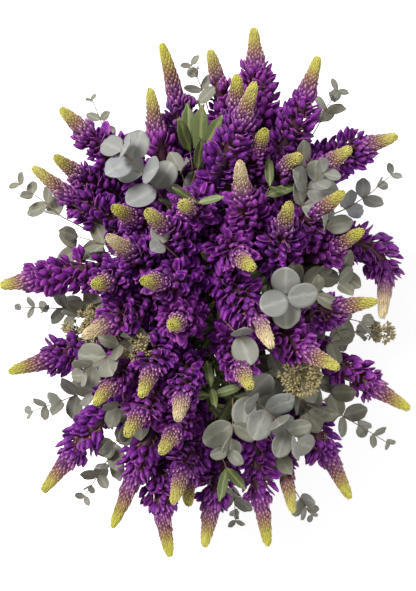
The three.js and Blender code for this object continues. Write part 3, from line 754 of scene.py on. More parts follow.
LEAVES = {
    "round": [
        leaf_blade("flat leaf", 0.88, 0.05, 0.02, 0.0, 0.95),
        leaf_blade("cupped leaf", 0.86, 0.10, 0.02, 0.03, 0.9),
        leaf_blade("folded leaf", 0.84, 0.02, 0.05, 0.07, 0.85),
    ],
    "oval": [
        leaf_blade("flat oval leaf", 0.68, 0.03, 0.02, 0.0, 0.8),
        leaf_blade("cupped oval leaf", 0.66, 0.07, 0.03, 0.04, 0.75),
        leaf_blade("folded oval leaf", 0.6, 0.02, 0.07, 0.08, 0.7),
    ],
    "slim": [leaf_blade("slim leaf", 0.3, 0.02, 0.02, 0.04, 0.6)],
}
print("leaf:", len(LEAVES["round"][0]["sizes"]), "faces")

# %% [markdown]
# Lupin leaves are hands of narrow leaflets on a stalk. They grow on the stem below the flowers and
# fill the middle of the bouquet, so that one hardly sees through it to the bare stems.

# %% The leaflet
PALMS_BELOW = mm(188, 212, 238)  # distances from the tip of the spike
PALM_STALK = 22 * MM
PALM_STALK_RADII = mm(1.1, 0.9, 0.8)
PALM_STALK_SAG = 2 * MM
STALK_OUT, STALK_UP = 0.8, 0.6  # the stalk's direction, against the stem's
HAND_TILT = 0.25
PALM_LEAFLET = 46 * MM
LEAFLETS = 7
LEAFLET_RISE = (0.15, 0.4)
LEAFLET_SIZES = (0.8, 1.1)
PALM_BLADE = leaf_blade("leaflet", 0.22, 0.02, 0.03, 0.06, 0.6, points=10, rings=1)

# %% [markdown]
# A whorl is a ring of flowers at one height. Going down from the tip, the whorls grow further apart,
# and their flowers are longer and stand out more. Each whorl is turned half a gap from the next, and
# every flower has its own small tilt and shade, or the spike would look machine-made.

# %% How a spike's whorls change with distance from its tip
# Each row gives a distance from the tip, the radius of the core that the flowers stand on, their
# angle from the stem and their length. Angles are in degrees and the rest in millimetres.
CROWN = [(0, 1.2, -6, 5), (10, 1.2, -6, 5)]
SCALES = [(5, 3.8, -14, 7), (10, 4.9, -2, 8), (20, 5.9, 3, 9), (35, 6.6, 8, 10), (52, 7.2, 13, 12)]
BUDS = [(52, 7, 14, 13), (62, 7, 19, 15), (76, 6.8, 27, 18)]
FLORETS = [(74, 6.6, 36, 20), (86, 7, 45, 24), (104, 7, 52, 27), (140, 7, 58, 28), (220, 7, 64, 28)]
# distances from the tip and the stem's radius there, in millimetres
CORE = [
    (0, 0.6), (1.5, 2.2), (4, 3.6), (10, 5), (20, 6), (35, 6.8), (52, 7.2), (66, 7.4), (84, 8),
    (110, 8.4), (208, 8.4), (222, 2.6),
]
# a flower and its pattern's length, its table, how many stand in a whorl, the gap between whorls, where
# the first whorl stands and where they end, and how far a flower leans out of line, in radians
WHORLS = [
    (SCALE, SCALE_LENGTH, CROWN, 4, 3 * MM, 3.4 * MM, 5 * MM, 0.05),
    (SCALE, SCALE_LENGTH, SCALES, 8, 3.5 * MM, 5.6 * MM, 52 * MM, 0.05),
    (BUD, BUD_LENGTH, BUDS, 8, 4.8 * MM, 54 * MM, 74 * MM, 0.1),
    (FLORET, FLORET_LENGTH, FLORETS, 5, 8.4 * MM, 75 * MM, 212 * MM, 0.24),
]
LEAF_BERTH = 1.3  # flowers keep off a leaf and this far round it, as a share of its half size
FLOWER_REACH = 1.3  # a flower that ends just under a leaf is left out too, as a share of its length
CLOSED_LENGTH = 74 * MM  # the tables' length of scales and buds above the first open floret
GOLDEN_SHIFT = 0.03  # a little spiral on top of the half-gap turn from whorl to whorl
SWAY, ROLL, GROWTH = 0.6, 1.5, 0.45  # how far place, roll and size vary, as shares of the lean
FULL_TURN = 6.28  # radians, for a direction that may be any
CREAM_TIPS = {"lupin_12", "lupin_19", "lupin_21", "lupin_28", "lupin_33", "lupin_43"}
# how long a spike's closed part is, as a share of CLOSED_LENGTH, where that is out of the usual
CLOSED = {"lupin_26": 0.62, "lupin_04": 0.8, "lupin_40": 1.05, "lupin_48": 1.05, "lupin_01": 1.25}
USUALLY_CLOSED = (0.78, 1.0)
chance = np.random.default_rng(29)
print(len(WHORLS), "kinds of whorl")

# %% [markdown]
# Flowers are set out round the stem with two directions at each point of its line: one along it and
# one across it. The one across is carried up from point to point and turns as little as it can, so
# that the whorls don't twist where the stem bends.


# %% Directions round a stem
def frames_along(points):
    """Tangents of a line, and directions across it that turn as little as they can."""
    tangents = np.gradient(points, axis=0)
    tangents /= np.linalg.norm(tangents, axis=1)[:, None]
    across = unit(np.cross(tangents[0], (0.31, 0.87, 0.38)))
    sides = []
    for tangent in tangents:
        across = unit(across - tangent * (across @ tangent))
        sides.append(across)
    return tangents, np.array(sides)


def swing(across, axis, angle):
    """A direction at right angles to an axis, turned about it."""
    return math.cos(angle) * across + math.sin(angle) * np.cross(axis, across)


def pierces_a_leaf(place, length):
    """Whether a flower, from its root to its end, would pass through a foliage leaf."""
    root, end = place[:, 3], place[:, 3] + place[:, 0] * length * FLOWER_REACH
    near = np.einsum("kij,kj->ki", leaf_inverses, root - leaf_bases)
    far = np.einsum("kij,kj->ki", leaf_inverses, end - leaf_bases)
    share = near[:, 2] / (near[:, 2] - far[:, 2] + 1e-9)
    across = near + share[:, None] * (far - near)
    off = np.hypot((across[:, 0] - 0.5) / 0.5, across[:, 1] / (leaf_widths / 2))
    return bool(np.any((share > 0) & (share < 1) & (off < LEAF_BERTH)))


# %% [markdown]
# Each whorl reads its flowers' size, angle and core from the tables, at its distance from the tip. On
# a spike that has opened further, the whorls of its closed part sit closer together.


# %% One spike's whorls
def plant_whorls(bed, line, tangents, sides, below, vigour, closed):
    """Plants one spike's scales, buds and florets. below is each point's distance from the tip, and
    closed is how long the closed part is, as a share of the tables' length."""
    turn = chance.uniform(0, FULL_TURN)
    for pattern, length, table, count, spacing, first, last, wild in WHORLS:
        heights, cores, angles, lengths = np.array(table).T
        places, ages, tones = [], [], []
        for table_down in np.arange(first, last, spacing):
            down = table_down - (1 - closed) * CLOSED_LENGTH * min(1, table_down / CLOSED_LENGTH)
            at = int(np.searchsorted(-below, -down))
            core = np.interp(table_down / MM, heights, cores) * MM
            size = np.interp(table_down / MM, heights, lengths) * MM / length * vigour
            angle = math.radians(np.interp(table_down / MM, heights, angles))
            turn += math.pi / count + GOLDEN_SHIFT
            for i in range(count):
                around = turn + 2 * math.pi * i / count + chance.normal(0, SWAY * wild)
                tangent = tangents[at]
                outward = swing(sides[at], tangent, around)
                lean = angle + chance.normal(0, wild)
                x = math.cos(lean) * tangent + math.sin(lean) * outward
                y = swing(np.cross(tangent, outward), x, chance.normal(0, ROLL * wild))
                grown = size * (1 + chance.normal(0, GROWTH * wild))
                place = placed(x, y, grown, line[at] + outward * core)
                tone = chance.uniform(0, 1)
                if pierces_a_leaf(place, length):
                    continue
                places.append(place)
                ages.append(table_down / GROWN)
                tones.append(tone)
        if places:
            traits = {"age": ages, "tone": tones, "cream": bed["cream"], "warm": bed["warm"]}
            plant(bed, pattern, places, PETAL, **traits)


# %% [markdown]
# A lupin is then put together on its line: the stem with its thicker core under the flowers, the
# whorls, and three leaves below them. Its mesh has three finishes, and each plant names its own.


# %% One lupin
STEM, PETAL, PALM = 0, 1, 2  # the finishes' places on a lupin's mesh
RINGS_BELOW_PARTING = 2  # these run straight, and the line is smooth above them
LINE_POINTS = 241
STEM_STEP = 6  # the stem's own mesh has a ring at each sixth point
MOST_CREAM, MOST_WARM = 0.25, 0.5  # how far an ordinary spike's tip and florets may vary in colour
VIGOUR = (0.95, 1.05)  # how much larger or smaller a spike's flowers are than the tables'


def plant_palms(bed, line, tangents, sides, below):
    """Plants the hand-shaped leaves below a spike: leaflets that fan out from the end of a stalk."""
    for down in PALMS_BELOW:
        at = int(np.searchsorted(-below, -down))
        tangent = tangents[at]
        outward = swing(sides[at], tangent, chance.uniform(0, FULL_TURN))
        reach = unit(outward * STALK_OUT + tangent * STALK_UP)
        hand = line[at] + reach * PALM_STALK
        bend = line[at] + reach * PALM_STALK * 0.5 + tangent * PALM_STALK_SAG
        stalk_pattern = stem_pattern([line[at], bend, hand], PALM_STALK_RADII, 6, age=[1, 1, 1])
        plant(bed, stalk_pattern, [AT_ORIGIN], STEM)
        axis = unit(outward * HAND_TILT + tangent)
        start = unit(np.cross(axis, (0.3, 0.2, 0.9)))
        for i in range(LEAFLETS):
            turn = 2 * math.pi * i / LEAFLETS + chance.normal(0, 0.08)
            x = unit(swing(start, axis, turn) + axis * chance.uniform(*LEAFLET_RISE))
            y = unit(np.cross(axis, x))
            length = PALM_LEAFLET * chance.uniform(*LEAFLET_SIZES)
            plant(bed, PALM_BLADE, [placed(x, y, length, hand)], PALM, tone=chance.uniform(0.5, 1))


def grow_lupin(name):
    """One lupin: its stem, the whorls of its spike and the leaves below them."""
    centres = lines[name]
    upper = centres[RINGS_BELOW_PARTING:]
    smooth = np.array([smooth_point(upper, share) for share in np.linspace(0, 1, LINE_POINTS)])
    line = np.vstack([centres[:RINGS_BELOW_PARTING], smooth])
    steps = np.linalg.norm(np.diff(line, axis=0), axis=1)
    below = np.append(np.cumsum(steps[::-1])[::-1], 0)
    tangents, sides = frames_along(line)
    bed = new_bed("age", "rim", "tone", "cream", "warm", "calyx", "rib", "along", "aside")
    bed["cream"] = 1.0 if name in CREAM_TIPS else chance.uniform(0, MOST_CREAM)
    bed["warm"] = chance.uniform(0, MOST_WARM) ** 2
    few = np.unique(np.append(np.arange(0, len(line), STEM_STEP), len(line) - 1))
    taper = np.interp(below[few] / MM, *np.array(CORE).T) * MM
    plant(bed, stem_pattern(line[few], taper, age=below[few] / STEM_GROWN), [AT_ORIGIN], STEM)
    closed = CLOSED.get(name, chance.uniform(*USUALLY_CLOSED))
    plant_whorls(bed, line, tangents, sides, below, chance.uniform(*VIGOUR), closed)
    plant_palms(bed, line, tangents, sides, below)
    piece = grow(bed, name.replace("lupin", "lupin_spike"), [stem, petal, blade])
    hand_over(piece, name)
    return len(piece.data.polygons)


# %% [markdown]
# Each foliage stem forks just above the tie, and each branch runs to its own place in the bouquet.
# The lines and leaf sizes are the same as the solids', so every leaf lies where its solid does.

# %% The branches, in millimetres and degrees
def sprig(path, leaf, pairs, start, roll, lean, shape="oval", silver=0.1, buds=None):
    """A branch: its points from inside the head to its tip, its leaves' length at the first and the
    last pair, how many pairs, at what share of the path they start, the roll of the first pair, the
    angle between leaf and twig, the leaves' shape, how silvery they are, and any buds at the tip."""
    return {
        "path": path, "leaf": leaf, "pairs": pairs, "start": start, "roll": roll, "lean": lean,
        "shape": shape, "silver": silver, "buds": buds,
    }


def bud_twig(path, buds):
    """A branch without leaves, and its spray of buds: how many stalks, and how far they reach."""
    return {"path": path, "pairs": 0, "buds": buds}


FOLIAGE = {
    "eucalyptus_01": [
        sprig([(-77, 107, 262), (-118, 177, 285), (-136, 219, 300), (-150, 254, 315)],
              (27, 12), 3, 0.5, 60, 58, "oval", 0.15),
        sprig([(-37, 87, 400), (-56, 119, 430), (-81, 151, 455), (-104, 174, 470)],
              (42, 38), 4, 0.45, 15, 68, "round", 1.0),
        sprig([(9, 193, 262), (0, 243, 285), (-10, 274, 300), (-22, 299, 310)],
              (27, 16), 3, 0.6, 20, 58, "oval", 0.2),
    ],
    "eucalyptus_02": [
        sprig([(-130, 74, 262), (-178, 94, 285), (-209, 119, 295), (-246, 145, 305)],
              (34, 18), 4, 0.5, 60, 58, "oval", 0),
        sprig([(-130, -6, 262), (-181, -16, 285), (-214, -16, 292), (-245, -15, 298)],
              (34, 14), 5, 0.2, 80, 58, "oval", 0.4),
        bud_twig([(-84, -18, 330), (-108, -28, 345), (-122, -33, 350)], (14, 22)),
    ],
    "eucalyptus_03": [
        sprig([(-72, -43, 390), (-108, -67, 425), (-137, -81, 442), (-150, -96, 447)],
              (36, 20), 3, 0.5, 50, 58, "round", 0.2),
        sprig([(-117, -112, 262), (-161, -126, 285), (-195, -139, 295), (-231, -151, 300)],
              (40, 16), 5, 0.25, 70, 58, "oval", 0.3),
    ],
    "eucalyptus_04": [
        sprig([(-90, -178, 262), (-126, -209, 285), (-143, -234, 295), (-161, -262, 300)],
              (34, 13), 5, 0.3, 10, 58, "oval", 0.25),
        sprig([(23, -191, 262), (29, -229, 285), (34, -260, 295), (36, -294, 300)],
              (36, 14), 4, 0.55, 75, 58, "oval", 0.2),
    ],
    "eucalyptus_05": [
        sprig([(89, -205, 262), (108, -245, 280), (124, -271, 292), (135, -286, 298)],
              (32, 11), 3, 0.6, 40, 58, "oval", 0.35),
        sprig([(40, -111, 400), (57, -127, 430), (81, -148, 445), (108, -178, 455)],
              (39, 32), 6, 0.2, 10, 66, "round", 0.5),
        sprig([(30, -123, 400), (30, -158, 425), (24, -190, 435)], (38, 24), 3, 0.5, 15, 60, "round", 0.3),
    ],
    "eucalyptus_06": [
        sprig([(76, 16, 400), (87, 6, 440), (95, -4, 470)], (40, 35), 2, 0.8, 60, 84, "round", 0.6),
        bud_twig([(96, -80, 380), (108, -92, 410), (112, -97, 425)], (22, 30)),
    ],
    "eucalyptus_07": [
        sprig([(122, -112, 262), (166, -150, 285), (201, -172, 292), (234, -192, 298)],
              (36, 15), 5, 0.25, 70, 58, "oval", 0.25),
        sprig([(122, -32, 262), (179, -45, 285), (205, -48, 292), (234, -47, 298)],
              (34, 13), 4, 0.25, 25, 58, "oval", 0.4, (7, 14)),
    ],
    "eucalyptus_08": [
        sprig([(122, 87, 262), (173, 109, 285), (209, 131, 295), (239, 158, 305)],
              (36, 16), 4, 0.4, 65, 58, "oval", 1.0),
        sprig([(109, 166, 262), (138, 210, 290), (152, 241, 300), (168, 266, 310)],
              (34, 17), 4, 0.5, 75, 58, "oval", 0.2),
        sprig([(98, 111, 378), (120, 129, 410), (142, 150, 430)], (38, 22), 3, 0.5, 30, 58, "round", 0.5),
    ],
    "green_leaves_01": [
        sprig([(-22, 132, 370), (-14, 152, 385), (-10, 172, 395)], (46, 64), 2, 0.6, 68, 16, "slim", 0),
        sprig([(62, 108, 385), (70, 122, 405), (76, 134, 415)], (44, 40), 2, 0.5, 30, 60, "slim", 0),
    ],
    "green_leaves_02": [
        sprig([(5, -141, 380), (4, -125, 400), (4, -112, 420)], (46, 38), 2, 0.6, 10, 70, "slim", 0),
        sprig([(12, -185, 340), (22, -212, 365), (27, -228, 375)], (46, 40), 1, 0.6, 20, 24, "slim", 0),
    ],
}
print(sum(len(branches) for branches in FOLIAGE.values()), "branches")

# %% [markdown]
# A real bouquet has leaves deep between its flowers too. They close the gaps between the spikes, and
# are too thin and too many for solids of their own.

# %% The undergrowth, in millimetres and degrees
UNDERGROWTH = {
    "eucalyptus_01": [
        sprig([(0, 150, 300), (-8, 225, 318), (-14, 252, 322)], (30, 30), 1, 0.9, 0, 60),
        sprig([(-20, 100, 330), (-28, 135, 350), (-34, 158, 362)], (36, 30), 2, 0.4, 30, 50, "oval", 0.35),
        sprig([(-30, 40, 430), (-46, 54, 465), (-58, 66, 486)], (28, 24), 1, 0.8, 40, 50, "round", 0.5),
    ],
    "eucalyptus_02": [
        sprig([(-95, -14, 300), (-140, -22, 322), (-172, -28, 330)], (36, 30), 2, 0.45, 20, 60),
        bud_twig([(-92, -18, 290), (-125, -28, 318), (-150, -30, 335)], (9, 20)),
        bud_twig([(-92, -40, 280), (-140, -48, 308), (-176, -48, 322)], (8, 18)),
        bud_twig([(-80, -20, 290), (-112, -34, 312), (-138, -42, 322)], (9, 22)),
        sprig([(-80, -6, 280), (-118, -14, 298), (-150, -24, 304)], (40, 34), 3, 0.3, 30, 50, "oval", 0),
        sprig([(-90, 50, 310), (-135, 66, 324), (-168, 76, 328)], (34, 30), 2, 0.5, 0, 45),
        sprig([(-92, 44, 300), (-138, 56, 312), (-172, 62, 316)], (38, 32), 2, 0.45, 80, 50, "oval", 0),
    ],
    "eucalyptus_03": [
        sprig([(-60, -40, 400), (-85, -52, 430), (-108, -60, 446)], (30, 26), 3, 0.3, 40, 50, "oval", 0),
        bud_twig([(-50, -50, 400), (-72, -60, 425), (-84, -66, 440)], (8, 18)),
        sprig([(-60, -90, 300), (-90, -118, 335), (-116, -142, 348)], (36, 30), 2, 0.4, 30, 50),
    ],
    "eucalyptus_04": [
        sprig([(-50, -110, 310), (-95, -160, 330), (-122, -190, 338)], (36, 30), 2, 0.4, 20, 50, "oval", 0),
        sprig([(-60, -130, 300), (-98, -168, 312), (-120, -192, 316)], (42, 36), 2, 0.5, 100, 50, "oval", 0),
    ],
    "eucalyptus_05": [
        sprig([(50, -120, 300), (80, -180, 335), (94, -215, 348)], (38, 32), 1, 0.8, 60, 40, "oval", 0),
        sprig([(75, -90, 320), (108, -126, 350), (126, -148, 362)], (42, 36), 3, 0.2, 0, 50),
        sprig([(65, -60, 350), (98, -88, 384), (118, -104, 398)], (38, 32), 3, 0.2, 60, 50),
        sprig([(40, -50, 310), (60, -74, 334), (74, -92, 342)], (42, 38), 3, 0.2, 0, 45, "oval", 0),
    ],
    "eucalyptus_06": [
        sprig([(20, -30, 440), (33, -44, 470), (42, -54, 486)], (34, 28), 1, 0.7, 70, 50, "round", 0.4),
        sprig([(80, 0, 330), (105, 6, 350), (122, 12, 360)], (44, 36), 2, 0.5, 30, 50, "oval", 0),
        sprig([(80, 4, 300), (100, 8, 322), (112, 10, 330)], (56, 50), 2, 0.3, 75, 70, "oval", 0),
        sprig([(100, 4, 310), (140, 10, 335), (168, 16, 342)], (36, 30), 2, 0.4, 30, 55),
        sprig([(105, 20, 300), (142, 26, 318), (170, 30, 322)], (40, 34), 2, 0.4, 80, 50, "oval", 0),
        sprig([(105, -38, 300), (138, -52, 320), (158, -60, 326)], (40, 34), 2, 0.3, 60, 45, "oval", 0),
        sprig([(100, 2, 340), (130, 2, 384), (150, 2, 398)], (32, 28), 1, 0.6, 50, 50, "oval", 0),
    ],
    "eucalyptus_07": [
        sprig([(90, -110, 320), (120, -136, 350), (140, -156, 360)], (38, 34), 1, 0.6, 60, 40, "oval", 0),
        sprig([(90, -70, 300), (132, -106, 324), (158, -126, 332)], (44, 38), 3, 0.25, 40, 50, "oval", 0),
        sprig([(120, -20, 310), (170, -28, 322), (198, -34, 326)], (32, 26), 2, 0.5, 20, 60),
    ],
    "eucalyptus_08": [
        sprig([(80, 80, 370), (108, 104, 405), (124, 118, 418)], (38, 30), 1, 0.7, 20, 55, "oval", 0.35),
        sprig([(100, 60, 370), (135, 78, 405), (156, 90, 426)], (36, 30), 1, 0.7, 70, 45, "oval", 0.4),
        sprig([(80, 110, 330), (112, 150, 362), (132, 172, 374)], (40, 34), 1, 0.7, 0, 50),
    ],
    "green_leaves_01": [
        sprig([(-6, 80, 290), (10, 102, 312), (20, 114, 318)], (54, 48), 3, 0.3, 0, 40, "slim", 0),
        sprig([(-14, 120, 330), (-20, 165, 352), (-24, 190, 364)], (58, 50), 1, 0.8, 75, 20, "slim", 0),
        sprig([(-16, 80, 430), (-15, 98, 468), (-12, 112, 488)], (36, 30), 1, 0.9, 0, 55, "slim", 0),
    ],
    "green_leaves_02": [
        sprig([(-4, -60, 320), (6, -84, 340), (14, -100, 352)], (56, 48), 3, 0.2, 20, 60, "slim", 0),
        sprig([(10, -90, 320), (24, -112, 340), (34, -128, 350)], (50, 44), 2, 0.3, 60, 60, "slim", 0),
    ],
}
print(sum(len(branches) for branches in UNDERGROWTH.values()), "sprigs between the flowers")

# %% [markdown]
# The solids' leaves have small differences of their own, from a plain rule that turns one number into
# the next. The same rule and the same start give the same leaves here. The solids use the first
# numbers for the lupins, so as many are passed over.


# %% The same draws as the solids
def seeded_draws(seed):
    """Numbers between 0 and 1, the same in every run."""
    state = seed
    while True:
        state = state * 16807 % 2147483647
        yield state / 2147483647


FOLIAGE_SEED = 4711
LUPIN_DRAWS = 48
draws = seeded_draws(FOLIAGE_SEED)
for _ in range(LUPIN_DRAWS):
    next(draws)
print(LUPIN_DRAWS, "draws passed over")

# %% [markdown]
# A branch leaves its stem just above the tie, bends outwards and then follows its own points. Its
# leaves stand in pairs, each pair a quarter turn from the last, and turn their faces to the light.

# %% Where a branch and its leaves lie
LIGHTWARD = 0.65  # how far leaves turn their faces up, from 0 to 1
FORK_SUNK = 2 * MM
BEND_OUT, BEND_UP = 0.26, 0.45  # where the bend lies between the fork and the first point
TWIG_STEPS = 6
LAST_PAIR = 0.985  # the last pair sits just short of the tip
QUARTER_TURN, ROLL_SPREAD = 90, 24  # degrees
LEAN_SPREAD, FACING_SPREAD = 0.3, 0.8  # radians
SMALLEST, SIZE_SPREAD = 0.9, 0.2
TANGENT_STEP = 0.01
UP = np.array((0.0, 0.0, 1.0))


def turned(vector, axis, angle):
    """A vector turned about an axis."""
    return np.array(Quaternion(axis, angle) @ Vector(vector))


def point_on(line, share):
    """A point at a share of a line of straight lengths."""
    at = share * (len(line) - 1)
    i = min(int(at), len(line) - 2)
    return line[i] + (line[i + 1] - line[i]) * (at - i)


def branch_line(place, path):
    """The points that a branch's smooth line passes through, from its fork."""
    own = [np.array(point) * MM for point in path]
    fork = place - UP * FORK_SUNK
    bend = fork + (own[0] - fork) * BEND_OUT
    bend[2] = fork[2] + (own[0][2] - fork[2]) * BEND_UP
    return np.array([fork, bend, *own])


def leaf_places(points, branch, draws):
    """Where each leaf of a branch sits: a 3 x 4 place, with the leaf's length in its directions."""
    twig_line = [smooth_point(points, i / TWIG_STEPS) for i in range(TWIG_STEPS + 1)]
    own_from = 2 / (len(points) - 1)  # the spans up to the branch's own first point bear no leaves
    places = []
    pairs = branch["pairs"]
    for pair in range(pairs):
        within = branch["start"] + (1 - branch["start"]) * pair / max(1, pairs - 1)
        share = own_from + (1 - own_from) * min(within, LAST_PAIR)
        base = point_on(twig_line, share)
        ahead = smooth_point(points, min(1, share + TANGENT_STEP))
        tangent = unit(ahead - smooth_point(points, max(0, share - TANGENT_STEP)))
        level = unit(np.array((-tangent[1], tangent[0], 0)))
        own_roll = ROLL_SPREAD * (next(draws) - 0.5)
        roll = math.radians(branch["roll"] + QUARTER_TURN * pair + own_roll)
        first, last = branch["leaf"]
        size = (first + (last - first) * pair / max(1, pairs - 1)) * MM
        for turn in (0, math.pi):
            side = turned(level, tangent, roll + turn)
            lean = math.radians(branch["lean"]) + LEAN_SPREAD * (next(draws) - 0.5)
            x = math.cos(lean) * tangent + math.sin(lean) * side
            light = tangent * (1 - LIGHTWARD) + UP * LIGHTWARD
            facing = unit(light - x * (light @ x))
            facing = turned(facing, x, FACING_SPREAD * (next(draws) - 0.5))
            length = size * (SMALLEST + SIZE_SPREAD * next(draws))
            across = np.cross(facing, x)
            places.append(np.column_stack([x * length, across * length, facing * length, base]))
    return twig_line, places

# %% [markdown]
# The bud spray is a branch without leaves: stalks fan out round its end, and each carries a small
# umbel of club-shaped buds. The bud is a ball on a short neck, with its cap drawn to a blunt point.

# %% The eucalyptus bud
club = add_ball(mm(2.6, 1.5, 1.5), mm(5.4, 0, 0))
reshape(club, lambda x, y, z: x > 7 * MM, move=mm(0.7, 0, 0), grow=(1, 0.5, 0.5), about=mm(7, 0, 0))
reshape(club, lambda x, y, z: x < 4 * MM, grow=(1, 0.5, 0.5), about=mm(4, 0, 0))
reshape(club, lambda x, y, z: x < 3 * MM, move=mm(-2.6, 0, 0))
CLUB = pattern_of(club)
print("eucalyptus bud:", len(CLUB["sizes"]), "faces")

# %% [markdown]
# An umbel has one bud in the middle and four round it. A spray has one umbel at the end of each of its
# stalks and two smaller ones on the way.

# %% The sprays
TWIG, LEAF, BUD_COAT, FOLIAGE_STEM = 0, 1, 2, 3  # the finishes' places on a foliage mesh
UMBEL_BUDS = 5
UMBEL_SPREAD = 0.8
BUD_SIZES = (0.75, 1.15)
SPRAY_FROM, SPRAY_SPAN = 0.8, 0.19  # the part of the twig that bears the stalks
STALK_RADII = mm(0.9, 0.6)
SIDE_STALK_RADII = mm(0.6, 0.5)
SIDE_STALK = 5 * MM
SIDE_STALKS_AT = (0.32, 0.6)
KNEE = 0.84  # a stalk ends at this share of its reach, and its buds fill the rest
GOLDEN_TURN = 2.4  # radians from each stalk to the next


def plant_umbel(bed, knee, outward):
    """A fan of buds at the end of a stalk."""
    across = unit(np.cross(outward, (0.2, 0.5, 0.8)))
    for j in range(UMBEL_BUDS):
        around = turned(across, outward, 2 * math.pi * j / (UMBEL_BUDS - 1) + chance.normal(0, 0.3))
        x = unit(outward + (UMBEL_SPREAD * around if j < UMBEL_BUDS - 1 else 0))
        y = unit(np.cross(x, across + 0.01))
        plant(bed, CLUB, [placed(x, y, chance.uniform(*BUD_SIZES), knee)], BUD_COAT)


def plant_spray(bed, twig_line, count, reach):
    """Stalks round the last part of a twig. Each bears an umbel at its end and side umbels lower."""
    for i in range(count):
        start = point_on(twig_line, SPRAY_FROM + SPRAY_SPAN * i / count)
        tangent = unit(twig_line[-1] - twig_line[-2])
        level = unit(np.array((-tangent[1], tangent[0], 0)))
        side = turned(level, tangent, i * GOLDEN_TURN)
        up_twig = tangent * reach * (0.5 + 0.3 * next(draws))
        end = start + up_twig + side * reach * (0.9 - 0.35 * i / count)
        knee = start + (end - start) * KNEE
        plant(bed, stem_pattern([start, knee], STALK_RADII, 4), [AT_ORIGIN], BUD_COAT)
        outward = unit(end - start)
        plant_umbel(bed, knee, outward)
        for share in SIDE_STALKS_AT:
            fork = start + (end - start) * (share + chance.uniform(-0.08, 0.08))
            across = unit(np.cross(outward, tangent))
            aside = unit(outward + turned(across, outward, chance.uniform(0, FULL_TURN)))
            elbow = fork + aside * SIDE_STALK
            plant(bed, stem_pattern([fork, elbow], SIDE_STALK_RADII, 4), [AT_ORIGIN], BUD_COAT)
            plant_umbel(bed, elbow, aside)


# %% [markdown]
# A foliage stem runs straight from its cut end to the top of the tie. Its place there is read from
# its solid. All its branches and leaves go into one bed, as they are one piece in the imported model.

# %% The foliage
TIE_LOW = 165 * MM
PARTING = 190 * MM  # stems run side by side through the tie up to here
STEM_RADIUS = 2.6 * MM
THICK_TWIG, THIN_TWIG = 1.2, 0.5  # radii in millimetres at the fork and the tip
SILVER_SPREAD = 0.08


def stem_place(node):
    """The centre of a foliage stem at the cut end, and where it passes through the tie."""
    points = np.unique(np.round([p.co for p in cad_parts[node].data.vertices], 6), axis=0)
    foot = points[points[:, 2] < NEAR_FLOOR].mean(axis=0)
    tied = points[np.abs(points[:, 2] - TIE_LOW) < NEAR_FLOOR].mean(axis=0)
    return foot, tied


def grow_foliage(node, branches):
    """One foliage stem, with the twigs and leaves of its branches. The bud sprays come after."""
    foot, tied = stem_place(node)
    place = np.array((tied[0], tied[1], PARTING))
    bed = new_bed("rib", "along", "aside", "tone", "silver", "age")
    main_pattern = stem_pattern([foot, tied, place], [STEM_RADIUS] * 3, age=[1, 1, 1])
    plant(bed, main_pattern, [AT_ORIGIN], FOLIAGE_STEM)
    own = [(branch, draws, sprays) for branch in branches]
    extra = [(branch, extra_draws, extra_sprays) for branch in UNDERGROWTH.get(node, [])]
    for branch, branch_draws, branch_sprays in own + extra:
        points = branch_line(place, branch["path"])
        twig_line, leaves = leaf_places(points, branch, branch_draws)
        radii = np.linspace(THICK_TWIG, THIN_TWIG, TWIG_STEPS + 1) * MM
        plant(bed, stem_pattern(twig_line, radii, 6), [AT_ORIGIN], TWIG)
        for leaf in leaves:
            kinds = LEAVES[branch["shape"]]
            kind = kinds[chance.integers(len(kinds))]
            silver = branch["silver"] + chance.normal(0, SILVER_SPREAD)
            plant(bed, kind, [leaf], LEAF, tone=chance.uniform(0, 1), silver=silver)
            all_leaves.append((leaf, np.ptp(kind["points"][:, 1])))
        if branch["buds"]:
            branch_sprays.append((bed, twig_line, branch["buds"]))
    return bed


sprays, extra_sprays, all_leaves = [], [], []
UNDERGROWTH_SEED = 97
extra_draws = seeded_draws(UNDERGROWTH_SEED)
beds = {node: grow_foliage(node, branches) for node, branches in FOLIAGE.items()}
for bed, twig_line, (count, reach) in sprays + extra_sprays:
    plant_spray(bed, twig_line, count, reach * MM)
for node, bed in beds.items():
    green = node.startswith("green")
    piece = grow(bed, node + "_branch", [twig, blade if green else bloom, seed_coat, stem])
    hand_over(piece, node)
leaf_bases = np.array([place[:, 3] for place, width in all_leaves])
leaf_inverses = np.linalg.inv([place[:, :3] for place, width in all_leaves])
leaf_widths = np.array([width for place, width in all_leaves])
print(len(beds), "foliage stems with", len(all_leaves), "leaves")

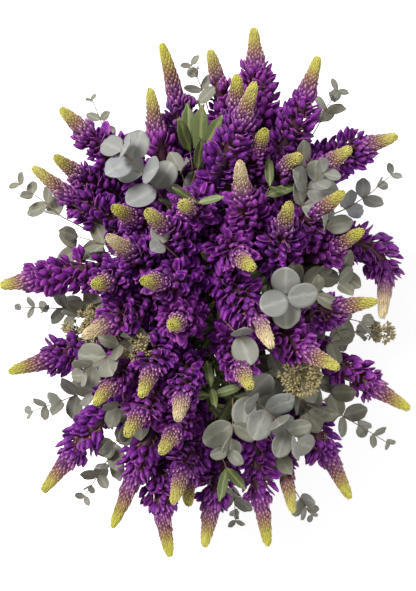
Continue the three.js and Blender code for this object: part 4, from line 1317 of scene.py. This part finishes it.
# %% [markdown]
# With the leaves in place the lupins can grow round them: a floret that would pierce a leaf is left
# out, as the leaf pushes it aside in a real bouquet.

# %% The lupins
lupin_faces = [grow_lupin(name) for name in lupin_names]
print(len(lupin_faces), "lupins,", sum(lupin_faces), "faces")

# %% [markdown]
# The binding is jute twine, wound tight round the stems. Real twine is two plies twisted together,
# so two thin strands run side by side round one winding line, half a turn apart.

# %% The twine
WRAPS = 6
WRAP_RADIUS = 1.5 * MM  # half the room that one wrap takes up, out from the stems
END_MARGIN = 1.4 * MM
PLY_RADIUS = 0.72 * MM
PLY_FULLNESS = 1.15  # the plies bulge into each other, so no gap shows between them
TWIST_LENGTH = 7 * MM
STRAND_POINTS = 900

tie_low_corner, tie_high_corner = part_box("twine_tie")
tie_outer = (tie_high_corner.x - tie_low_corner.x) / 2
winding_radius = tie_outer - WRAP_RADIUS
low, high = tie_low_corner.z + END_MARGIN, tie_high_corner.z - END_MARGIN
winding_length = 2 * math.pi * winding_radius * WRAPS
tie_bed = new_bed("age")
for ply in (0, math.pi):
    strand = []
    for share in np.linspace(0, 1, STRAND_POINTS):
        around = 2 * math.pi * WRAPS * share
        twist = 2 * math.pi * winding_length * share / TWIST_LENGTH + ply
        out = winding_radius + PLY_RADIUS * math.cos(twist)
        level = low + (high - low) * share + PLY_RADIUS * math.sin(twist)
        strand.append((out * math.cos(around), out * math.sin(around), level))
    radii = [PLY_RADIUS * PLY_FULLNESS] * STRAND_POINTS
    plant(tie_bed, stem_pattern(strand, radii, 6), [AT_ORIGIN], 0)
tie_piece = grow(tie_bed, "twine_binding", [twine])
hand_over(tie_piece, "twine_tie")
print(f"{WRAPS} wraps, {winding_length / MM:.0f} mm of twine")

# %% [markdown]
# Last, the dressed bouquet is measured, and its size is printed beside the solids'.

# %% The sizes, and the end
visual_low, visual_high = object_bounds()
solid_size = [round(side / MM) for side in cad_high - cad_low]
dressed_size = [round(side / MM) for side in visual_high - visual_low]
print("solid", solid_size, "mm, dressed", dressed_size, "mm")
